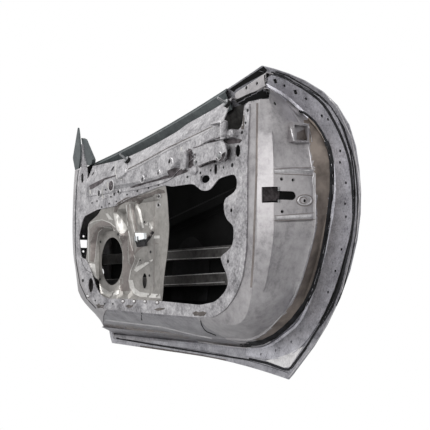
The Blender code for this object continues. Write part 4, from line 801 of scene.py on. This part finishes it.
# what lies in shadow behind the rail: pockets and the gap under its lower edge
railRecesses = {
    "on": metal, "lift": 0.0004, "outlines": (
        ((89.2, 185.7), (100.3, 180), (105.3, 177.9), (115.6, 175), (116, 176.1), (104.6, 180),
         (102.4, 182.9), (93.1, 188.6), (90.3, 189.3)),
        ((130, 187.2), (136, 184.7), (146, 182.2), (157.4, 178.9), (164.6, 175.7),
         (171.7, 175), (176, 173.6), (176, 176.4), (164.6, 179), (157.4, 181.1),
         (146.7, 183.3), (140.3, 185.8), (132.4, 188)),
        ((166.7, 170.8), (175, 167.5), (180, 168.3), (183.3, 170), (188.3, 170), (187.5, 172.1),
         (175, 176.7), (170, 177.5)),
        ((188.3, 148.3), (193.3, 150), (195.8, 154.2), (195, 163.3), (193.3, 166.7),
         (189.2, 168.3), (186.7, 165), (187.5, 155)),
        ((193.3, 147.6), (206.7, 142.5), (220, 136.7), (220.4, 139.8), (206.7, 144.2),
         (194.2, 148.4)),
        ((198.3, 166.3), (211.7, 161.7), (220, 161.3), (225, 159.5), (229.2, 155), (230, 148.3),
         (231, 151), (229.2, 158.5), (225, 162), (218.3, 162), (211.7, 163.5), (200, 168)),
        ((222.5, 139.8), (232, 137.5), (240, 139), (242.5, 140), (240, 143), (228.5, 144.2),
         (225, 142.5)),
        ((109.2, 182), (110, 180.3), (112, 180.3), (113, 182.5), (113, 188.5), (111.8, 191.3),
         (109.6, 190.6), (109, 187)))}
layPatches("rail_recesses", "recess", railRecesses)

# a darker film on the carrier's upper border and dark patches on the frame; the last one is
# painted shade on the flange beside the rail's end
borderFilm = {
    "border": ((114.2, 212), (114.6, 206.4), (117.4, 202.9), (126, 197.5), (139.6, 195.7),
               (150.3, 192.9), (158.9, 188.9), (164.2, 190.4), (165.3, 192.9), (163.9, 193.2),
               (154.6, 194.3), (153.1, 196.4), (143.9, 199.3), (143.1, 200.7), (139.2, 204.6),
               (135.3, 202.1), (131.7, 201.4), (123.9, 202.9), (119.6, 205.7), (116.7, 212)),
    "smears": (
        ((96, 304.6), (98.4, 303.6), (101, 305), (104.8, 304.8), (103.4, 307), (104.4, 308.6),
         (100.6, 307.6), (98, 308.4)),
        ((125.4, 306), (128.6, 304.6), (131, 305.4), (133.6, 304.6), (132.6, 306.8),
         (129.6, 308.2), (127, 307.2)),
        ((154, 309.4), (159, 307.8), (165.6, 308), (163.6, 309.6), (158, 311)),
        ((192.6, 312.8), (196, 311.2), (199, 312.2), (203, 311.2), (207, 312.8),
         (205.2, 314.8), (202.2, 317.4), (198.6, 315.6), (194.4, 315.8)),
        ((234.8, 107.9), (244.6, 106.3), (244.2, 129.2), (241.3, 129.2), (240, 125),
         (234, 121.7), (233.8, 113.3)))}
border = Kit("carrier_border_and_frame_dark_patches", "filmAndShade")
border.patch(borderFilm["border"], ("carrier_panel", "inner_frame"))
for outline in borderFilm["smears"]:
    border.patch(outline, metal)
border.finish()

# painted shade: the belt flange that shows between the rail's end and the frame, in the beams'
# dark grey
beltFlange = {"on": ("outer_skin",), "lift": 0.0006,
              "outlines": (((226, 110), (244, 104), (245, 130), (241, 135), (227, 137)),)}
layPatches("belt_flange_painted_shade", "beam", beltFlange)

# the drawn sheet of the carrier: painted highlights on sharp radii and edges, painted shade on
# deep walls and folds
drawnRadii = {
    "on": sheet, "lift": 0.0006, "outlines": (
        ((113.5, 213.5), (117, 213.5), (126, 224.5), (128, 229), (124.5, 233), (121, 234),
         (117, 230), (115.5, 223)),
        ((89, 263), (95, 264), (96.5, 276), (100, 286), (110, 292), (119, 290), (119, 294),
         (110, 298), (100, 293), (93, 283)),
        ((134, 270), (138, 266), (140, 267.4), (153, 259), (153, 260.6), (140.4, 269.4),
         (136.6, 272)),
        ((128.5, 280), (133, 280), (135, 288), (140, 292), (155, 294), (160.5, 294),
         (161, 298.5), (140, 297), (134, 294), (130, 288)),
        ((154, 235.6), (160, 235.4), (160, 238.4), (154, 238.4)),
        ((135, 204), (137.4, 204.6), (140.6, 210), (144.4, 228), (142.4, 228), (138.6, 212)),
        ((105.5, 213.5), (108, 213.5), (113.5, 220), (109, 219.4)),
        ((145, 225), (147.4, 222.4), (150, 222), (153, 228), (151, 230), (148.4, 225.6)))}
layPatches("carrier_drawn_radii", "radiusHighlight", drawnRadii)
carrierEdges = {
    "on": sheet, "high": 0.0008, "lines": (
        (((88.4, 262), (88.2, 240), (88.2, 224.6), (94, 221.2), (102, 219.8), (110, 222.8),
          (115.6, 227.6)), 0.8),
        (((95, 262), (96.4, 244), (98.6, 232), (104, 227.4), (110, 227.6), (115, 231)), 0.7),
        (((119.8, 234), (119.6, 262), (119.4, 289)), 0.7),
        (((128.6, 231), (131, 245), (135.2, 259), (130.6, 271), (129, 280)), 0.8),
        (((126.4, 205), (127.6, 226)), 0.9), (((129.8, 204), (131.2, 215), (134.6, 232)), 0.9),
        (((140, 258), (135.6, 268)), 0.8))}
layLines("carrier_edges", "radiusHighlight", carrierEdges)
carrierFolds = {
    "on": sheet, "high": 0.0003, "lines": (
        (((132, 203.6), (133.6, 215), (137, 231)), 1.3),
        (((154, 197), (154.2, 240), (153.8, 291)), 0.5),
        (((128, 205.4), (129.2, 226)), 0.9),
        (((155, 243), (158.6, 244)), 0.8))}
layLines("carrier_folds", "wallShade", carrierFolds)
drawnWalls = {
    "on": sheet, "lift": 0.0004, "outlines": (
        ((90.4, 229), (94, 225), (102, 220.5), (110, 223), (115.5, 228), (113, 230),
         (110, 227.8), (104, 227.6), (98.6, 232), (96.4, 240), (95, 256), (93.6, 262),
         (90, 261), (90, 240)),
        ((120, 234.4), (128, 230.4), (130, 238), (134, 250), (135, 259), (131, 270),
         (129, 279), (129.4, 291), (120.6, 291), (119.6, 280), (120.6, 258)),
        ((144, 239), (152, 230), (153, 234), (144, 246), (137, 252), (134, 256), (136, 250)))}
layPatches("carrier_drawn_walls", "wallShade", drawnWalls)
print("carrier radii and walls laid")

# hem: painted shade in the gaps along the folded edge of the skin, dirt below, the brushed corner,
# a painted highlight on the rim
hem = {
    "gap": ((271, 72.8), (283, 76.6), (294.4, 83.3), (303.6, 88.4), (312.2, 94.4), (318, 99),
            (323.3, 104.4), (329.4, 113), (334.4, 122.2), (339.8, 133), (344.4, 144.4),
            (347.6, 154), (350, 163.3), (352.2, 182), (353.3, 200), (353.2, 216), (351.6, 235),
            (346, 262), (339.6, 287), (332.2, 306.7), (325.4, 318), (317.8, 328.9),
            (306.7, 346.7), (292.2, 366.7), (288.9, 369.4), (284.4, 369.4), (267.8, 363.3),
            (248.9, 358.9)),
    "gapWidth": 2.6, "gapHigh": 0.0006,
    "outerTo": 20, "outerShift": (4.6, -1.0), "outerWidth": 1.4, "outerHigh": 0.0005,
    "lower": ((250, 360), (230, 357), (202, 352.4), (178, 348.6), (150, 344), (116.4, 338.2)),
    "lowerWidth": 1.7, "lowerHigh": 0.0008}
hemDirt = {"on": ("outer_skin",), "high": 0.0004,
           "lines": ((((226, 360.2), (202, 355.8), (170, 350.6), (140, 346.2)), 1.6),)}
hemCorner = {"on": edge, "lift": 0.0004,
             "outlines": (((265.6, 360.6), (276.7, 357.8), (287.8, 354.4), (300, 347.8),
                           (303.3, 346.7), (290, 367), (284.4, 367.6), (273.3, 363.6)),)}
hemRim = {"on": ("outer_skin",), "high": 0.0003,
          "lines": ((((325.2, 93.4), (337.8, 108.4), (351.8, 138.6), (359.1, 177.8),
                      (360, 190.3), (356.8, 234.6), (339, 301.2), (320, 336.8),
                      (288.9, 377)), 0.9),)}
gap = Kit("hem_gap", "sealerAndGapShade")
gap.line(hem["gap"], hem["gapWidth"], edge, high=hem["gapHigh"])
right, down = hem["outerShift"]
gap.line([(u + right, v + down) for u, v in hem["gap"][:hem["outerTo"]]], hem["outerWidth"],
         ("outer_skin",), high=hem["outerHigh"])
gap.line(hem["lower"], hem["lowerWidth"], ("outer_skin", "sill_panel"), high=hem["lowerHigh"])
gap.finish()
layLines("hem_dirt", "filmAndShade", hemDirt)
layPatches("corner_rubbed", "cornerBright", hemCorner)
layLines("hem_rim", "edgeHighlight", hemRim)

# what shows through the latch slot: a brownish patch of painted shade
latchRecess = {"on": ("latch_plate", "outer_skin", "damping_pad"), "lift": 0.0008,
               "outlines": (((262.4, 187.6), (276, 187.6), (280, 190.6), (279, 200.4),
                             (262.4, 201.6)),)}
layPatches("latch_recess", "recess", latchRecess)

# painted shade in the groove, wider downwards: where each stretch of the path starts and ends
grooveShade = {"stretches": ((0, 6, 2.4), (5, 15, 4.6), (14, None, 5.0)), "high": 0.0022}
grooveShadeKit = Kit("groove_painted_shade", "sealerAndGapShade")
for first, last, width in grooveShade["stretches"]:
    grooveShadeKit.line(panelZones["groove"][first:last], width, endAndSill, high=grooveShade["high"])
grooveShadeKit.finish()


def ovalPath(u, v, width, height, turn, count):
    # points round an oval from its right end, over this angle
    angles = [turn * k / count for k in range(count + 1)]
    return [(u + math.cos(angle) * width / 2, v + math.sin(angle) * height / 2)
            for angle in angles]


# latch end: painted highlights on the bead of the ridge, the ribs of the shut face, the small box
# and the oval pressing
beadValues = {
    "ridgeFrom": 2, "ridgeWidth": 1.3, "ridgeHigh": 0.0012, "ribHigh": 0.0016,
    "ribs": (
        (((274, 171.4), (290, 170.8), (313, 171.2)), 3.6), (((276, 218), (313, 216.2)), 4.0),
        (((291, 128), (304, 123.8), (309.4, 126)), 1.2), (((290.6, 128), (294.6, 143)), 1.6),
        (((294.6, 142.6), (309, 141.6)), 1.2), (((308.6, 126), (312, 142)), 1.0)),
    "oval": (304.8, 200.4, 13.2, 8.8), "ovalWidth": 1.6, "ovalHigh": 0.0018,
    "ovalTurn": 6.3, "ovalSteps": 18}  # a little past one turn, so that its ends meet
beads = Kit("ridge_bead", "edgeHighlight")
beads.line(panelZones["ridge"][beadValues["ridgeFrom"]:], beadValues["ridgeWidth"], endAndSill,
           high=beadValues["ridgeHigh"])
for points, width in beadValues["ribs"]:
    beads.line(points, width, end, high=beadValues["ribHigh"])
oval = ovalPath(*beadValues["oval"], beadValues["ovalTurn"], beadValues["ovalSteps"])
beads.line(oval, beadValues["ovalWidth"], end, high=beadValues["ovalHigh"])
beads.finish()

# painted shade: dark lines beside the ribs, in the crease of the slanted band and inside the small
# box
pressingEdges = {
    "high": 0.0003, "boxLift": 0.0003,
    "lines": (
        (((273, 169.2), (290, 168), (313, 167.6)), 0.6), (((272.6, 173.6), (313, 175.4)), 0.8),
        (((273, 216), (290, 214.6), (314, 212.8)), 0.6), (((273, 220.6), (315, 219.4)), 0.8),
        (((257.3, 103), (257, 130), (256.5, 173.8), (254.8, 215), (253.4, 255),
          (251.2, 287.5)), 2.0)),
    "ovals": ((304.8, 200.4, 16.6, 11.4, 0.8), (303.6, 200.4, 7.0, 6.4, 0.6)),
    "ovalSteps": 20,
    "box": ((297, 132.5), (304.6, 129), (307.6, 140), (296.4, 141))}
edges = Kit("pressing_edges", "wallShade")
for points, width in pressingEdges["lines"]:
    edges.line(points, width, end, high=pressingEdges["high"])
for *place, width in pressingEdges["ovals"]:
    edges.line(ovalPath(*place, 2 * math.pi, pressingEdges["ovalSteps"]), width, end,
               high=pressingEdges["high"])
edges.patch(pressingEdges["box"], end, lift=pressingEdges["boxLift"])
edges.finish()
print("latch end details set")

# sill: creases of the pressing, with a painted highlight on the edges and painted shade in the
# hollows
sillCreases = {
    "upper": (((101, 319.4), (126, 322.6), (162, 327), (186.4, 333), (212, 338.4)), 1.4),
    "upperHigh": 0.0012,
    "lower": (((198, 341.6), (225, 345.6), (246.6, 347.8), (262, 345.6), (270.7, 341.8)), 1.3),
    "lowerHigh": 0.0010}
creases = Kit("sill_creases", "edgeHighlight")
creases.line(*sillCreases["upper"], sill, high=sillCreases["upperHigh"])
creases.line(*sillCreases["lower"], sill, high=sillCreases["lowerHigh"])
creases.finish()
sillHollows = {
    "on": sill, "lift": 0.0003, "outlines": (
        ((104, 324), (126, 325), (145, 328.4), (165, 331.6), (190, 337), (188, 339),
         (168, 336.6), (146, 332.6), (124, 328.6), (104, 326)),
        ((196, 339.6), (222, 343), (246, 344), (258, 343), (250, 346.6), (225, 344.8),
         (200, 341.2)))}
layPatches("sill_hollows", "wallShade", sillHollows)

# corner bracket: painted shade on its open underside and in the dark gap at its end
bracketShade = {
    "on": corner, "lift": 0.0006, "outlines": (
        ((235.4, 100), (250, 93.2), (264.6, 88.4), (268.5, 97.4), (250, 102.4), (243.3, 105),
         (238.3, 103.8)),
        ((229.4, 89.2), (263.6, 66.4), (267.4, 70), (264.4, 73.6), (248, 82.4), (236, 89.4),
         (234, 92)),
        ((263.6, 70), (269.2, 73.4), (266.8, 83.3), (270, 97.5), (268.2, 97.5), (265.2, 86)))}
layPatches("bracket_underside", "coatAndCavityShade", bracketShade)

# the front stud's bracket, cast on the rail, and painted highlights on edges of the casting round
# it
studBracket = {"outline": ((118.4, 164), (126.4, 161.4), (128.4, 166), (127.6, 173), (124, 177),
                           (119, 179.4), (117.6, 173)), "high": 0.007}
bracket = Kit("stud_bracket", "castRail")
bracket.block(studBracket["outline"], metal, studBracket["high"])
bracket.finish()
castingEdges = {
    "on": metal, "high": 0.0010, "lines": (
        (((116.2, 165), (115.8, 173), (117.2, 179)), 1.0), (((123.6, 169), (125, 173)), 1.4),
        (((119, 178), (122.4, 180)), 1.2), (((103, 187), (102, 193), (103.4, 199)), 1.0),
        (((107.8, 182), (107.4, 188)), 1.0), (((90, 190), (90.6, 194)), 1.6),
        (((181.6, 147), (181.2, 151)), 1.8))}
layLines("stud_bracket_edges", "radiusHighlight", castingEdges)

# painted highlights on the rolled edges of the beams
beamEdges = {
    "high": 0.0003,
    "upper_beam": ((((167, 251.6), (198, 249.4), (229, 247.4)), 0.7),
                   (((167, 259.6), (198, 258.2), (229, 257)), 0.8)),
    "lower_beam": ((((164, 276.6), (195, 274.6), (225, 272.8)), 0.7),
                   (((164, 285), (195, 283.6), (225, 282)), 0.8))}
rolled = Kit("beam_edges", "beamEdgeHighlight")
for beam in ("upper_beam", "lower_beam"):
    for points, width in beamEdges[beam]:
        rolled.line(points, width, (beam,), high=beamEdges["high"])
rolled.finish()

# the belt rail's flank: a painted highlight on the sharp crease and painted shade in the hollow
# above it
railCrease = {"on": ("belt_rail",), "high": 0.0014,
              "lines": ((((126, 171.4), (136, 167.9), (146.7, 161.6), (157.4, 155.9),
                          (171.7, 148.2), (178.5, 144.6), (196, 136.4), (214, 127.6),
                          (224, 121)), 1.2),)}
layLines("rail_crease_painted_highlight", "edgeHighlight", railCrease)
railHollow = {"on": ("belt_rail",), "high": 0.0002,
              "lines": ((((128, 169.2), (146, 160), (157, 153.8), (171, 146.2), (196, 134.4),
                          (214, 125.4)), 0.8),)}
layLines("rail_hollow_painted_shade", "filmAndShade", railHollow)

# the clip that stands on the carrier: white housing, dark base and its arm
clipValues = {"housing": ((138, 233), (146.4, 233), (146.8, 239), (139, 241)),
              "housingHigh": 0.010,
              "base": ((137, 241.4), (146.4, 240), (147, 246), (138.4, 247)), "baseHigh": 0.006,
              "arm": ((144, 244), (149, 238), (153, 231.6)), "armWidth": 3.0, "armHigh": 0.0030}
housing = Kit("clip_housing", "whitePlastic")
housing.block(clipValues["housing"], sheet, clipValues["housingHigh"])
housing.finish()
base = Kit("clip_base", "dark")
base.block(clipValues["base"], sheet, clipValues["baseHigh"])
base.line(clipValues["arm"], clipValues["armWidth"], sheet, high=clipValues["armHigh"])
base.finish()
print("sill, bracket, rail and clip details set")

# open seams between the pressed panels: points, width and the nodes that carry them
seamValues = {"high": 0.0004, "lines": (
    (((200.4, 318.8), (201.6, 325), (204.8, 330), (207.3, 331.9), (216, 335.4)), 1.0, sill),
    (((142, 312), (141.2, 318), (142.9, 322.5)), 1.0, sill),
    (((78.6, 168), (76.8, 185), (75.6, 210), (75.2, 240), (76.2, 262), (80, 284), (87, 299),
      (96, 308.4)), 0.7, ("inner_frame", "hinge_end_panel")),
    (((81, 258), (83, 265), (86.3, 270), (91.3, 273)), 0.4, metal))}
seams = Kit("panel_seams", "sealerAndGapShade")
for points, width, on in seamValues["lines"]:
    seams.line(points, width, on, high=seamValues["high"])
seams.finish()
print("seams laid")

# cast bosses of the rail: column, hook, half dome
bossValues = {"column": ((182.6, 151.4), (187.8, 150), (189, 153.3), (188.6, 167.5), (185, 170),
                         (183, 168.3)), "columnHigh": 0.008,
              "hook": ((222, 138.6), (231.6, 128.6)), "hookDeep": 0.026, "hookBevel": 0.004,
              "dome": (194.4, 170.4, 6.6, 9.0), "domeHigh": 0.006, "domeTop": 0.55,
              "domeSides": 18}
bosses = Kit("rail_bosses", "castRail")
bosses.block(bossValues["column"], metal, bossValues["columnHigh"])
bosses.box(*bossValues["hook"], ("belt_rail",), bossValues["hookDeep"], bossValues["hookBevel"])
bosses.disc(*bossValues["dome"], metal, dome=bossValues["domeHigh"], top=bossValues["domeTop"],
            sides=bossValues["domeSides"])
bosses.finish()
print("bosses set")
